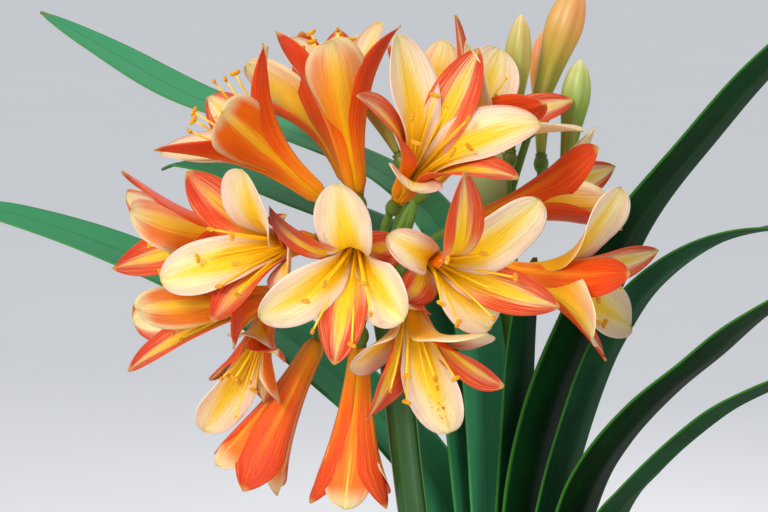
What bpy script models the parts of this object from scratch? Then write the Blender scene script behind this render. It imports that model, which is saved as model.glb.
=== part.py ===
"""A flowering clivia in its plain round pot, built in metres with +Z up.
The origin is the middle of the pot's base. The picture's left is -X and the viewer stands at -Y."""
import math
import random

import bmesh
import bpy
import numpy as np

MM = 0.001

# Pot and potting mix
POT_TOP_R = 0.100
POT_BASE_R = 0.075
POT_HEIGHT = 0.190
POT_WALL = 0.0045
POT_FLOOR = 0.006
RIM_BAND = 0.022
RIM_OUT = 0.004
DRAIN_R = 0.006
DRAIN_RING = 0.042
SOIL_TOP = 0.172
GAP = 0.0004
PIT_X = 0.012
PIT_HALF = (0.046, 0.036)
PIT_DEPTH = 0.0164
PIT_SIDES = 20
POT_SIDES = 28
DRAIN_SIDES = 6

# Flower head: its centre, and the two sorts of tepal
UMBEL = np.array([-0.038, -0.015, 0.455])
OUTER = dict(length=0.068, half_width=0.0094, widest=0.64, point=0.78, base=0.36, share=0.43)
INNER = dict(length=0.066, half_width=0.0124, widest=0.69, point=0.5, base=0.25, share=0.55)
TEPAL_THICK = 0.0009
TEPAL_STEPS = (0.24, 0.48, 0.75, 1.0)
TEPAL_CUP = 0.55
THROAT_ANGLE = 5.0
TUBE_R = 0.0034
TUBE_CLEAR = 0.0125
TUBE_OUT = ((0.0028, 0.0), (0.0040, 0.0040), (0.0048, 0.0085))
TUBE_IN = ((0.0030, 0.0050), (0.0039, 0.0085))
FILAMENT = 0.040
STYLE = 0.050
OVARY = 0.0075
OVARY_GAP = 0.0006

# One entry per bloom: base in mm from the centre (right, front, up), heading and lean of its axis,
# how far it opens, and hand-set changes to single tepals
BLOOMS = {
    "a": dict(base=(-11, 30, 14), heading=258, lean=65, open=58, recurve=12, roll=60, size=0.89,
              t={5: dict(d=20, az=14), 4: dict(d=2, az=12, length=0.57, curl=15, width=1.1),
                 0: dict(d=15, curl=80, width=0.5), 3: dict(az=10, length=0.77, d=-12, width=1.12),
                 2: dict(length=0.90, width=1.12)}),
    "b": dict(base=(14, 28, 6), heading=340, lean=60, open=58, recurve=10, roll=60, size=0.93,
              t={4: dict(az=8, d=8, length=1.26, curl=-6), 0: dict(az=10, d=30, curl=30, length=0.38),
                 5: dict(az=-14, d=16, curl=50, length=0.70, width=0.65),
                 1: dict(az=28, d=0, curl=20, length=0.68),
                 3: dict(az=14, width=1.12, length=1.04), 2: dict(length=0.97)}),
    "c": dict(base=(8, 24, -5), heading=280, lean=32, open=42, recurve=12, roll=0, size=0.95,
              t={0: dict(d=12, curl=40, length=0.42), 1: dict(az=32, d=14, length=0.68),
                 2: dict(az=6, length=0.88, width=1.45, twist=-25), 3: dict(az=15),
                 4: dict(az=40, length=0.95, width=1.2, twist=-25), 5: dict(d=25, az=17)}),
    "d": dict(base=(-11, 4, 27), heading=99, lean=0, open=24, recurve=12, roll=60, size=1.06,
              t={0: dict(curl=25, width=0.85)}),
    "e": dict(base=(-24, 12, 26), heading=141, lean=0, open=42, recurve=18, roll=60, size=1.06,
              t={3: dict(d=-8), 4: dict(d=-12), 5: dict(az=12, length=0.93)}),
    "f": dict(base=(5, 16, 26), heading=62, lean=38, open=44, recurve=15, roll=60, size=1.05,
              t={5: dict(d=-14, curl=65, length=0.46), 0: dict(az=8, length=0.92)}),
    "g": dict(base=(17, -6, 29), heading=52, lean=5, open=44, recurve=10, roll=15, size=1.06),
    "h": dict(base=(-28, 22, 11), heading=184, lean=38, open=45, recurve=10, roll=30, size=0.98,
              t={1: dict(az=-25, d=15, length=0.92, width=1.1),
                 2: dict(az=-36, d=8, length=0.90, width=1.2),
                 3: dict(az=-10, d=-6, length=0.96, width=0.92),
                 4: dict(az=-10, d=-5, length=0.8, width=1.15),
                 5: dict(length=0.55, d=10), 0: dict(length=0.7, d=10, curl=40)}),
    "i": dict(base=(-44, -4, 9), heading=181, lean=12, open=36, recurve=10, roll=90,
              t={3: dict(length=0.6), 4: dict(length=0.66, d=0, az=14, curl=25)}),
    "j": dict(base=(-40, 5, -13), heading=190, lean=8, open=28, recurve=10, roll=80,
              t={0: dict(length=0.6, d=-5), 1: dict(az=45), 2: dict(az=45, d=-10),
                 3: dict(az=20, length=0.36, d=0), 4: dict(az=10, length=0.55, d=35),
                 5: dict(width=0.74)}),
    "k": dict(base=(-46, -5, -21), heading=249, lean=14, open=30, recurve=10, roll=100, size=0.9,
              t={2: dict(length=0.62), 3: dict(length=0.62), 4: dict(d=40, curl=50, length=0.5),
                 5: dict(az=-16, d=22, curl=40, length=0.34), 0: dict(d=-10, length=0.6)}),
    "l": dict(base=(-27, -9, -34), heading=242, lean=-4, open=14, recurve=6, roll=0),
    "m": dict(base=(-10, 7, -34), heading=266, lean=0, open=14, recurve=8, roll=60, size=0.95),
    "n": dict(base=(43, 17, -1), heading=350, lean=12, open=36, recurve=12, roll=-30,
              t={1: dict(curl=40, length=0.85), 0: dict(length=0.9), 5: dict(d=28, length=0.95, twist=-35),
                 2: dict(length=0.84)}),
    "o": dict(base=(34, -7, 14), heading=20, lean=6, open=22, recurve=8, roll=-60, size=0.94,
              t={0: dict(az=20, width=1.2), 1: dict(az=25)}),
    "p": dict(base=(-14, -28, 28), heading=112, lean=-34, open=34, recurve=14, roll=10),
    "q": dict(base=(10, -30, 26), heading=68, lean=-36, open=32, recurve=14, roll=40, size=0.96),
}
SEEDS = {name: 100 + i for i, name in enumerate(BLOOMS)}


def clear():
    for thing in list(bpy.data.objects):
        bpy.data.objects.remove(thing, do_unlink=True)


def material(name, colour, rough=0.5):
    mat = bpy.data.materials.new(name)
    mat.use_nodes = True
    shader = mat.node_tree.nodes["Principled BSDF"]
    shader.inputs["Base Color"].default_value = (*colour, 1.0)
    shader.inputs["Roughness"].default_value = rough
    return mat


def smooth(a, b, x):
    t = min(1.0, max(0.0, (x - a) / (b - a)))
    return t * t * (3 - 2 * t)


def unit(v):
    return v / max(np.linalg.norm(v), 1e-12)


def mesh_object(name, verts, faces, mat):
    mesh = bpy.data.meshes.new(name)
    mesh.from_pydata([tuple(float(c) for c in v) for v in verts], [], faces)
    mesh.materials.append(mat)
    obj = bpy.data.objects.new(name, mesh)
    bpy.context.scene.collection.objects.link(obj)
    bm = bmesh.new()
    bm.from_mesh(mesh)
    bmesh.ops.remove_doubles(bm, verts=bm.verts, dist=1e-6)
    bmesh.ops.dissolve_degenerate(bm, edges=bm.edges, dist=1e-6)
    bmesh.ops.triangulate(bm, faces=bm.faces)
    bmesh.ops.recalc_face_normals(bm, faces=bm.faces)
    bm.to_mesh(mesh)
    bm.free()
    return obj


def apply(obj):
    """Keep the modified mesh and drop the modifiers."""
    graph = bpy.context.evaluated_depsgraph_get()
    graph.update()
    mesh = bpy.data.meshes.new_from_object(obj.evaluated_get(graph))
    obj.modifiers.clear()
    old = obj.data
    obj.data = mesh
    bpy.data.meshes.remove(old)


def tidy(obj, dist=0.000004):
    bm = bmesh.new()
    bm.from_mesh(obj.data)
    bmesh.ops.remove_doubles(bm, verts=bm.verts, dist=dist)
    bmesh.ops.dissolve_degenerate(bm, edges=bm.edges, dist=dist)
    bmesh.ops.triangulate(bm, faces=bm.faces)
    bm.to_mesh(obj.data)
    bm.free()


def shade(obj, angle=50):
    """Round forms look round, and rims and edges stay crisp."""
    obj.data.shade_smooth()
    obj.data.set_sharp_from_angle(angle=math.radians(angle))


def join(name, base, others, solver="EXACT"):
    """One Boolean union of the base with every other object, applied."""
    group = bpy.data.collections.new(name + "_pieces")
    bpy.context.scene.collection.children.link(group)
    for other in others:
        bpy.context.scene.collection.objects.unlink(other)
        group.objects.link(other)
    mod = base.modifiers.new("join", "BOOLEAN")
    mod.operation = "UNION"
    mod.operand_type = "COLLECTION"
    mod.collection = group
    mod.solver = solver
    apply(base)
    for other in others:
        bpy.data.objects.remove(other, do_unlink=True)
    bpy.data.collections.remove(group)
    tidy(base)
    base.name = name
    base.data.name = name
    return base


def cut(base, cutter):
    mod = base.modifiers.new("cut", "BOOLEAN")
    mod.operation = "DIFFERENCE"
    mod.object = cutter
    mod.solver = "EXACT"
    apply(base)
    bpy.data.objects.remove(cutter, do_unlink=True)


def sheet(name, grid, thick, mat):
    """A closed blade from a grid of points; thick is a number or one value per grid point."""
    rows, cols = grid.shape[0], grid.shape[1]
    along = np.gradient(grid, axis=0)
    across = np.gradient(grid, axis=1)
    normal = np.cross(along, across)
    normal /= np.maximum(np.linalg.norm(normal, axis=2, keepdims=True), 1e-12)
    t = np.broadcast_to(np.asarray(thick, float), (rows, cols))[..., None]
    verts = np.concatenate([(grid + normal * t / 2).reshape(-1, 3), (grid - normal * t / 2).reshape(-1, 3)])
    under = rows * cols
    faces = []
    for i in range(rows - 1):
        for j in range(cols - 1):
            a, b = i * cols + j, i * cols + j + 1
            c, d = a + cols, b + cols
            left = j < (cols - 1) / 2
            tris = [(a, b, c), (b, d, c)] if left else [(a, b, d), (a, d, c)]
            for p, q, r in tris:
                faces.append((p, q, r))
                faces.append((under + p, under + r, under + q))
    ring = list(range(cols))
    ring += [i * cols + cols - 1 for i in range(1, rows)]
    ring += [(rows - 1) * cols + j for j in range(cols - 2, -1, -1)]
    ring += [i * cols for i in range(rows - 2, 0, -1)]
    for p, q in zip(ring, ring[1:] + ring[:1]):
        faces.append((p, q, under + q))
        faces.append((p, under + q, under + p))
    return mesh_object(name, verts, faces, mat)


def rod(name, path, radii, sides, mat, flat=1.0, wide=None):
    """A closed rod along a path; flat squashes it across the direction wide."""
    path = np.asarray(path, float)
    verts = []
    whole = unit(path[-1] - path[0])
    ref = np.array([0.0, 1.0, 0.0]) if abs(whole[1]) < 0.75 else np.array([1.0, 0.0, 0.0])
    if wide is not None:
        ref = np.cross(wide, [0, 0, 1.0])
    for i, p in enumerate(path):
        t = unit(path[min(i + 1, len(path) - 1)] - path[max(i - 1, 0)])
        side = unit(ref - t * (ref @ t))
        ref = side
        up = np.cross(t, side)
        for k in range(sides):
            q = 2 * math.pi * (k + 0.5) / sides
            verts.append(p + radii[i] * (side * math.cos(q) * flat + up * math.sin(q)))
    faces = []
    for i in range(len(path) - 1):
        for k in range(sides):
            a, b = i * sides + k, i * sides + (k + 1) % sides
            faces.append((a, b, b + sides, a + sides))
    faces.append(tuple(range(sides - 1, -1, -1)))
    last = (len(path) - 1) * sides
    faces.append(tuple(last + k for k in range(sides)))
    return mesh_object(name, verts, faces, mat)


def bezier(a, b, c, d, n):
    return [a * (1 - t) ** 3 + b * 3 * t * (1 - t) ** 2 + c * 3 * t * t * (1 - t) + d * t ** 3
            for t in np.linspace(0, 1, n)]


def spline(points, n):
    """A smooth line through the points, n samples even in length."""
    pts = np.asarray(points, float)
    ext = np.vstack([2 * pts[0] - pts[1], pts, 2 * pts[-1] - pts[-2]])
    out = []
    for i in range(1, len(ext) - 2):
        for t in np.linspace(0, 1, 24, endpoint=False):
            p0, p1, p2, p3 = ext[i - 1:i + 3]
            out.append(0.5 * (2 * p1 + (p2 - p0) * t + (2 * p0 - 5 * p1 + 4 * p2 - p3) * t * t
                              + (3 * p1 - p0 - 3 * p2 + p3) * t ** 3))
    out.append(pts[-1])
    out = np.array(out)
    dist = np.concatenate([[0], np.cumsum(np.linalg.norm(np.diff(out, axis=0), axis=1))])
    want = np.linspace(0, dist[-1], n)
    return np.array([[np.interp(w, dist, out[:, k]) for k in range(3)] for w in want])


# Blooms
def width_at(kind, s):
    rise = kind["base"] + (1 - kind["base"]) * math.sin(0.5 * math.pi * min(1.0, s / kind["widest"])) ** 1.35
    if s > kind["widest"]:
        x = min(1.0, (s - kind["widest"]) / (1 - kind["widest"]))
        rise *= max(0.0, 1 - x * x) ** kind["point"]
    return kind["half_width"] * rise


def tepal(kind, opening, recurve, size, steps, d=0.0, bend=0.0, twist=0.0, length=1.0, curl=0.0, width=1.0):
    """Three points across at each step, in the tepal's own frame: out from the axis, round it, along it."""
    full = kind["length"] * size * length
    fine = 60
    r, z = TUBE_R, 0.0
    path = []
    for i in range(fine + 2):
        s = i / fine
        angle = THROAT_ANGLE + (opening + d - THROAT_ANGLE) * smooth(0.08, 0.72, s)
        angle += (recurve + curl) * max(0.0, (s - 0.55) / 0.45) ** 2
        angle = math.radians(angle)
        path.append((r, z, angle))
        r += math.sin(angle) * full / fine
        z += math.cos(angle) * full / fine
    grid = []
    for s in steps:
        j = min(fine, int(s * fine))
        t = s * fine - j
        rr, zz, angle = (path[j][k] + (path[j + 1][k] - path[j][k]) * t for k in range(3))
        w = max(min(width_at(kind, s) * size * width, rr * kind["share"]), 0.0003)
        side = full * math.sin(math.radians(bend)) * s * s * 0.6
        normal = np.array([-math.cos(angle), 0.0, math.sin(angle)])
        across = np.array([0.0, 1.0, 0.0])
        turn = math.radians(twist) * smooth(0.2, 1.0, s)
        across, normal = (across * math.cos(turn) + normal * math.sin(turn),
                          normal * math.cos(turn) - across * math.sin(turn))
        hug = smooth(0.3, 0.6, s)
        arc = max(0.02, min(w / rr, 1.25) * (1 - hug) + TEPAL_CUP * (1 - 0.5 * s) * hug)
        row = []
        for c in (-1, 0, 1):
            row.append(np.array([rr, side, zz]) + across * (w / arc * math.sin(c * arc))
                       + normal * (w / arc * (1 - math.cos(c * arc))))
        grid.append(row)
    return np.array(grid)


def frame_of(heading, lean):
    """Axis of a bloom and two directions across it; lean is toward the viewer."""
    a, b = math.radians(heading), math.radians(lean)
    h = np.array([math.cos(a), 0.0, math.sin(a)])
    f = np.array([0.0, -1.0, 0.0])
    axis = math.cos(b) * h + math.sin(b) * f
    e1 = -math.sin(b) * h + math.cos(b) * f
    return axis, e1, np.cross(axis, e1)


def head_point(values):
    """A point given in mm from the flower head's centre: right, front, up."""
    x, front, z = values
    return UMBEL + np.array([x, -front, z]) * MM


def place(points, base, heading, lean, azimuth):
    axis, e1, e2 = frame_of(heading, lean)
    az = math.radians(azimuth)
    rad = e1 * math.cos(az) + e2 * math.sin(az)
    tan = -e1 * math.sin(az) + e2 * math.cos(az)
    points = np.asarray(points, float)
    return base + points[..., :1] * rad + points[..., 1:2] * tan + points[..., 2:3] * axis


def tepal_values(b, name):
    """Small seeded differences of each tepal, with the hand-set ones on top."""
    rnd = random.Random(SEEDS[name])
    out = []
    for k in range(6):
        v = dict(d=rnd.uniform(-4, 4), bend=rnd.uniform(-3, 3), twist=rnd.uniform(-8, 8),
                 length=rnd.uniform(0.96, 1.03), curl=rnd.uniform(-8, 8))
        for key, val in b.get("t", {}).get(k, {}).items():
            if key in ("length", "width"):
                v[key] = val
            else:
                v[key] = v.get(key, 0) * 0.3 + val
        az = b["roll"] + 60 * k + v.pop("az", 0)
        out.append((OUTER if k % 2 == 0 else INNER, az, v))
    return out


def stamen_path(b, k, n):
    """Filament from the throat in the bloom's own frame."""
    az = math.radians(b["roll"] + 30 + 60 * k)
    spread = (0.35 + 0.12 * ((k * 7) % 5) / 4) * b["open"] / 60
    long = FILAMENT * b.get("size", 1.0) * (0.92 + 0.04 * (k % 3))
    out = []
    for i in range(n):
        s = i / (n - 1)
        r = 0.0011 + long * math.sin(spread) * s ** 1.5
        height = 0.004 * b.get("size", 1.0) + long * math.cos(spread) * s
        out.append([r * math.cos(az), r * math.sin(az), height])
    return np.array(out)


def round_ring(radius, height, angles):
    return [[radius * math.cos(a), radius * math.sin(a), height] for a in angles]


def perianth(name, b, mat):
    """Short tube with a floor, opening into six tepals; one shell with shared corners."""
    size = b.get("size", 1.0)
    base = head_point(b["base"])
    values = tepal_values(b, name)
    mids = [math.radians(az) for _, az, _ in values]
    ends = [0.5 * (mids[k - 1] - (2 * math.pi if k == 0 else 0) + mids[k]) for k in range(6)]
    angles = [a for pair in zip(ends, mids) for a in pair]
    outside = [round_ring(r * size, z * size, angles) for r, z in TUBE_OUT]
    inside = [round_ring(r * size, z * size, angles) for r, z in TUBE_IN]
    verts = []
    faces = []

    def add(points, azimuth=0.0):
        start = len(verts)
        verts.extend(place(points, base, b["heading"], b["lean"], azimuth))
        return start

    def band(low, high, flip):
        for k in range(12):
            m = (k + 1) % 12
            quad = (low + k, low + m, high + m, high + k)
            faces.append(quad[::-1] if flip else quad)

    outer_rings = [add(ring) for ring in outside]
    inner_rings = [add(ring) for ring in inside]
    for low, high in zip(outer_rings, outer_rings[1:]):
        band(low, high, False)
    for low, high in zip(inner_rings, inner_rings[1:]):
        band(low, high, True)
    foot = add([[0, 0, TUBE_OUT[0][1] * size]])
    floor = add([[0, 0, TUBE_IN[0][1] * size]])
    for k in range(12):
        m = (k + 1) % 12
        faces.append((foot, outer_rings[0] + m, outer_rings[0] + k))
        faces.append((floor, inner_rings[0] + k, inner_rings[0] + m))
    top_out, top_in = outer_rings[-1], inner_rings[-1]
    for k, (kind, az, v) in enumerate(values):
        first = max(TEPAL_STEPS[0], TUBE_CLEAR / (kind["length"] * v["length"]))
        steps = [first + (s - TEPAL_STEPS[0]) * (1 - first) / (1 - TEPAL_STEPS[0]) for s in TEPAL_STEPS]
        grid = tepal(kind, b["open"], b["recurve"], size, steps, **v)
        along = np.gradient(grid, axis=0)
        across = np.gradient(grid, axis=1)
        normal = np.cross(along, across)
        normal /= np.linalg.norm(normal, axis=2, keepdims=True)
        sets = []
        for sign, ring in ((-1, top_out), (1, top_in)):
            shell = grid + normal * sign * TEPAL_THICK / 2
            start = add(shell.reshape(-1, 3), az)
            rows = [[ring + 2 * k, ring + 2 * k + 1, ring + (2 * k + 2) % 12]]
            rows += [[start + 3 * i + c for c in range(3)] for i in range(len(grid))]
            sets.append(rows)
        out_rows, in_rows = sets
        for i in range(len(out_rows) - 1):
            low, high = out_rows[i], out_rows[i + 1]
            under, over = in_rows[i], in_rows[i + 1]
            for c in (0, 1):
                faces.append((low[c], low[c + 1], high[c + 1], high[c]))
                faces.append((under[c + 1], under[c], over[c], over[c + 1]))
            faces.append((low[2], under[2], over[2], high[2]))
            faces.append((under[0], low[0], high[0], over[0]))
        for c in (0, 1):
            a, d = out_rows[-1], in_rows[-1]
            faces.append((a[c], a[c + 1], d[c + 1], d[c]))
    return mesh_object("bloom_" + name, verts, faces, mat)


def bloom(name, b, mat):
    base = head_point(b["base"])
    size = b.get("size", 1.0)
    shell = perianth(name, b, mat)
    pieces = []
    for k in range(6):
        path = place(stamen_path(b, k, 2), base, b["heading"], b["lean"], 0)
        tip = path[-1]
        along = unit(path[-1] - path[-2])
        cross = unit(np.cross(along, frame_of(b["heading"], b["lean"])[1 + k % 2]))
        anther = [tip + along * 0.0003 + cross * 0.0012, tip + along * 0.0002 + cross * 0.0036]
        radii = [0.0005, 0.00045, 0.0008, 0.0004]
        pieces.append(rod(f"{name}_s{k}", list(path) + anther, radii, 3, mat))
    style = place([[0, 0, 0.004 * size], [0.001, 0.001, 0.03], [0.003, 0.002, STYLE * size]], base,
                  b["heading"], b["lean"], 180)
    pieces.append(rod(f"{name}_style", style, [0.0005, 0.0005, 0.0006], 3, mat))
    return join("bloom_" + name, shell, pieces, "MANIFOLD")


# Stems, buds and the bract of the second head
def foot_of(b):
    """Where a pedicel meets the bloom, and the direction the bloom looks."""
    axis = frame_of(b["heading"], b["lean"])[0]
    return head_point(b["base"]) - axis * OVARY_GAP, axis


def pedicel(name, top, foot, axis, mat):
    """Stalk from the head of a scape to a bloom, ending in its ovary."""
    ovary_foot = foot - axis * OVARY
    reach = np.linalg.norm(ovary_foot - top)
    out = unit((ovary_foot - top) + np.array([0, 0, 0.004]))
    path = bezier(top, top + out * reach * 0.4, ovary_foot - axis * reach * 0.35, ovary_foot, 4)
    path += [foot - axis * 0.0045, foot]
    radii = [0.0019, 0.0017, 0.0016, 0.0017, 0.0030, 0.0024]
    return rod(name, path, radii, 4, mat)


def scape(name, points, widths, flat, mat):
    """Flattened stem through points in mm, ending at the head's top; the flat sides look along Y."""
    line = spline([np.array(p) * MM for p in points], len(widths))
    return rod(name, line, [w * MM for w in widths], 8, mat, flat=flat, wide=[1.0, 0.0, 0.0])


def scape_main(mat):
    points = [(-4, -20, 156.7), (-12, -18, 250), (-27, -14, 353), (-34, -11, 415), MAIN_TOP / MM]
    stem = scape("scape_main", points, [6.6, 6.4, 6.2, 6.0, 6.0, 6.2, 7.2], 0.65, mat)
    start = MAIN_TOP - np.array([0, 0, 0.004])
    pieces = [pedicel("stalk_" + name, start, *foot_of(b), mat) for name, b in BLOOMS.items()]
    pieces += [pedicel("stalk_" + name, start, *bud_foot(b), mat)
               for name, b in BUDS.items() if b["head"] == "main"]
    return join("scape_main", stem, pieces)


# Closed buds: tip and foot in mm from the flower head's centre (right, front, up)
BUDS = {
    "p": dict(head="second", foot=(62, -52, 52), tip=(80, -54, 108), radius=8.5),
    "q": dict(head="second", foot=(52, -44, 40), tip=(56, -42, 96), radius=6.0),
    "s": dict(head="second", foot=(74, -36, 30), tip=(80, -34, 78), radius=6.5),
    "r": dict(head="second", foot=(66, -66, 36), tip=(67, -70, 88), radius=6.0),
    "t": dict(head="main", foot=(5, -9, 42), tip=(-8, -12, 66), radius=4.2),
}
BUD_SHAPE = ((0.0, 0.36), (0.12, 0.45), (0.4, 0.7), (0.68, 1.0), (0.86, 0.78), (0.96, 0.36), (1.0, 0.08))
MAIN_TOP = UMBEL + np.array([0.0, 0.004, -0.012])
SECOND_TOP = np.array([0.0125, 0.030, 0.474])


def bud_foot(b):
    """Where a stalk meets the bud, and the direction the bud looks."""
    foot = head_point(b["foot"])
    axis = unit(head_point(b["tip"]) - foot)
    return foot - axis * OVARY_GAP, axis


def bud(name, b, mat):
    foot, tip = head_point(b["foot"]), head_point(b["tip"])
    path = [foot + (tip - foot) * s for s, _ in BUD_SHAPE]
    return rod("bud_" + name, path, [b["radius"] * MM * k for _, k in BUD_SHAPE], 6, mat)


def scape_second(mat):
    points = [(26, 21, 156.7), (19, 28, 260), (11.5, 30, 360), SECOND_TOP / MM]
    stem = scape("scape_second", points, [6.2, 6.2, 6.0, 5.6, 5.2, 5.6], 0.62, mat)
    start = SECOND_TOP - np.array([0, 0, 0.003])
    pieces = [pedicel("stalk_" + name, start, *bud_foot(b), mat)
              for name, b in BUDS.items() if b["head"] == "second"]
    return join("scape_second", stem, pieces + [bract(mat)])


def bract(mat):
    """Papery leaf that stands behind the young head."""
    grid = []
    for s in np.linspace(0, 1, 5):
        w = 0.0075 * math.sin(math.pi * min(1.0, 0.25 + 0.75 * s)) ** 0.8 + 0.0004
        mid = SECOND_TOP + np.array([-0.0055 - 0.006 * s, -0.0035, -0.005 + 0.046 * s])
        grid.append([mid + np.array([c * w, 0.0022 * c * c, 0.0]) for c in (-1, 0, 1)])
    return sheet("bract", np.array(grid), 0.0009, mat)


# Leaves: side of the fan, size of the sheath's half ellipse, half width, and the middle line in mm
# (out along the fan, across it, up from the pot's base)
LEAVES = {
    "inner": dict(side=1, sheath=(5, 3.5), half=13,
                  line=((5, 0, 300), (4, 1, 353), (5, 2, 400), (7, 3, 430), (10, 5, 454))),
    "right_1": dict(side=1, sheath=(9, 5.5), half=19.5,
                    line=((9, 0, 300), (11, 1, 353), (17, 7, 392), (26, 18, 426), (39, 35, 466),
                          (61, 49, 500), (87, 61, 533), (121, 73, 562), (159, 86, 576))),
    "right_2": dict(side=1, sheath=(13, 7.5), half=15,
                    line=((15, 0, 300), (22, 4, 353), (29, 10, 388), (36, 21, 418), (46, 35, 441),
                          (65, 49, 458), (90, 61, 466), (123, 73, 464), (159, 85, 450))),
    "right_3": dict(side=1, sheath=(17, 9.5), half=19,
                    line=((22, 0, 300), (37, -2, 353), (50, -3, 378), (71, -5, 402), (93, -7, 421),
                          (118, -9, 442), (156, -12, 463), (200, -15, 474), (236, -17, 474))),
    "right_4": dict(side=1, sheath=(21, 11.5), half=17,
                    line=((28, 0, 296), (51, -3, 350), (67, -5, 370), (93, -8, 394), (117, -11, 411),
                          (155, -15, 428), (195, -19, 430), (230, -22, 418))),
    "right_5": dict(side=1, sheath=(25, 13.5), half=18,
                    line=((38, 2, 270), (60, 5, 304), (90, 9, 324), (125, 14, 333), (165, 19, 330),
                          (198, 24, 314), (222, 28, 292))),
    "left_1": dict(side=-1, sheath=(7, 4.5), half=17,
                   line=((-8, 0, 300), (-10, 0, 353), (-14, 0, 410), (-26, 0, 452), (-54, 0, 480),
                         (-104, 0, 497), (-166, 0, 512), (-215, 0, 531), (-252, 0, 546))),
    "left_3": dict(side=-1, sheath=(11, 6.5), half=19,
                   line=((-12, 0, 300), (-16, 0, 353), (-22, 0, 400), (-36, -2, 435), (-60, -4, 458),
                         (-98, -8, 471), (-132, -12, 481), (-157, -15, 484), (-168, -16, 481))),
    "left_2": dict(side=-1, sheath=(15, 8.5), half=20,
                   line=((-17, -1, 300), (-26, -4, 346), (-46, -10, 375), (-71, -18, 398), (-107, -31, 424),
                         (-164, -56, 451), (-210, -73, 465), (-236, -81, 468))),
    "left_4": dict(side=-1, sheath=(19, 10.5), half=18,
                   line=((-28, 1, 255), (-48, 3, 281), (-74, 8, 303), (-110, 14, 309), (-150, 20, 299),
                         (-186, 26, 277))),
}
FAN_X = 0.012
FAN_TURN = math.radians(-35)
LEAF_ROWS = 9
LEAF_THICK = (0.0008, 0.0011, 0.0014, 0.0011, 0.0008)
LEAF_FOOT = (156, 185, 215)
SHEATH_TURN = math.radians(82)
SHEATH_END = (0.205, 0.300)


def fan_point(u, v, z):
    """From the fan's own directions to the part's."""
    c, n = math.cos(FAN_TURN), math.sin(FAN_TURN)
    return np.array([FAN_X + u * c - v * n, u * n + v * c, z])


def leaf_grid(leaf, rows, cols):
    """Sheath wrapped round the fan's middle at the foot, opening into a strap blade."""
    side = leaf["side"]
    ex, ey = leaf["sheath"][0] * MM, leaf["sheath"][1] * MM
    foot = [(side * leaf["sheath"][0], 0, z) for z in LEAF_FOOT]
    line = spline([np.array(p) * MM for p in foot + list(leaf["line"])], rows)
    half = leaf["half"] * MM
    grid = []
    for i in range(rows):
        s = i / (rows - 1)
        t = unit(line[min(i + 1, rows - 1)] - line[max(i - 1, 0)])
        flat = np.array([0.0, 1.0, 0.0])
        w = unit(flat - t * (flat @ t))
        n = np.cross(w, t) * side
        wide = half * (0.62 + 0.38 * smooth(0.1, 0.55, s))
        end = max(0.0, (s - 0.78) / 0.22)
        wide *= max(0.0, 1 - end ** 2.2) ** 0.6
        wide = max(wide, 0.0008)
        open_up = smooth(*SHEATH_END, line[i][2])
        row = []
        for c in range(cols):
            q = 2 * c / (cols - 1) - 1
            fold = 0.20 * (1 - 0.6 * s)
            blade = line[i] + w * wide * q - n * wide * fold * abs(q)
            a = SHEATH_TURN * q
            wrap = line[i] + np.array([side * ex * (math.cos(a) - 1), ey * math.sin(a), 0.0])
            row.append(fan_point(*(wrap * (1 - open_up) + blade * open_up)))
        grid.append(row)
    return np.array(grid)


def leaf(name, spec, mat):
    grid = leaf_grid(spec, LEAF_ROWS, len(LEAF_THICK))
    return sheet("leaf_" + name, grid, np.tile(LEAF_THICK, (LEAF_ROWS, 1)), mat)


# Pot and potting mix
def revolve(name, profile, sides, mat):
    verts = []
    for r, z in profile:
        for k in range(sides):
            a = 2 * math.pi * k / sides
            verts.append((r * math.cos(a), r * math.sin(a), z))
    faces = []
    for i in range(len(profile) - 1):
        for k in range(sides):
            m = (k + 1) % sides
            faces.append((i * sides + k, i * sides + m, (i + 1) * sides + m, (i + 1) * sides + k))
    faces.append(tuple(range(sides - 1, -1, -1)))
    last = (len(profile) - 1) * sides
    faces.append(tuple(last + k for k in range(sides)))
    return mesh_object(name, verts, faces, mat)


def wall_r(z):
    return POT_BASE_R + (POT_TOP_R - RIM_OUT - POT_BASE_R) * z / POT_HEIGHT


def pot(mat):
    rim_z = POT_HEIGHT - RIM_BAND
    profile = [(POT_BASE_R - 0.002, 0.0), (POT_BASE_R, 0.002), (wall_r(rim_z), rim_z),
               (wall_r(rim_z) + RIM_OUT, rim_z + 0.003), (POT_TOP_R, POT_HEIGHT - 0.002),
               (POT_TOP_R - 0.002, POT_HEIGHT), (POT_TOP_R - RIM_OUT - POT_WALL + 0.002, POT_HEIGHT),
               (POT_TOP_R - RIM_OUT - POT_WALL, POT_HEIGHT - 0.002),
               (wall_r(POT_FLOOR) - POT_WALL, POT_FLOOR)]
    body = revolve("pot", profile, POT_SIDES, mat)
    for k in range(4):
        a = math.radians(45 + 90 * k)
        centre = np.array([DRAIN_RING * math.cos(a), DRAIN_RING * math.sin(a), 0.0])
        path = [centre + [0, 0, -0.01], centre + [0, 0, 0.03]]
        cut(body, rod("hole", path, [DRAIN_R] * 2, DRAIN_SIDES, mat))
    tidy(body)
    return body


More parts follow.
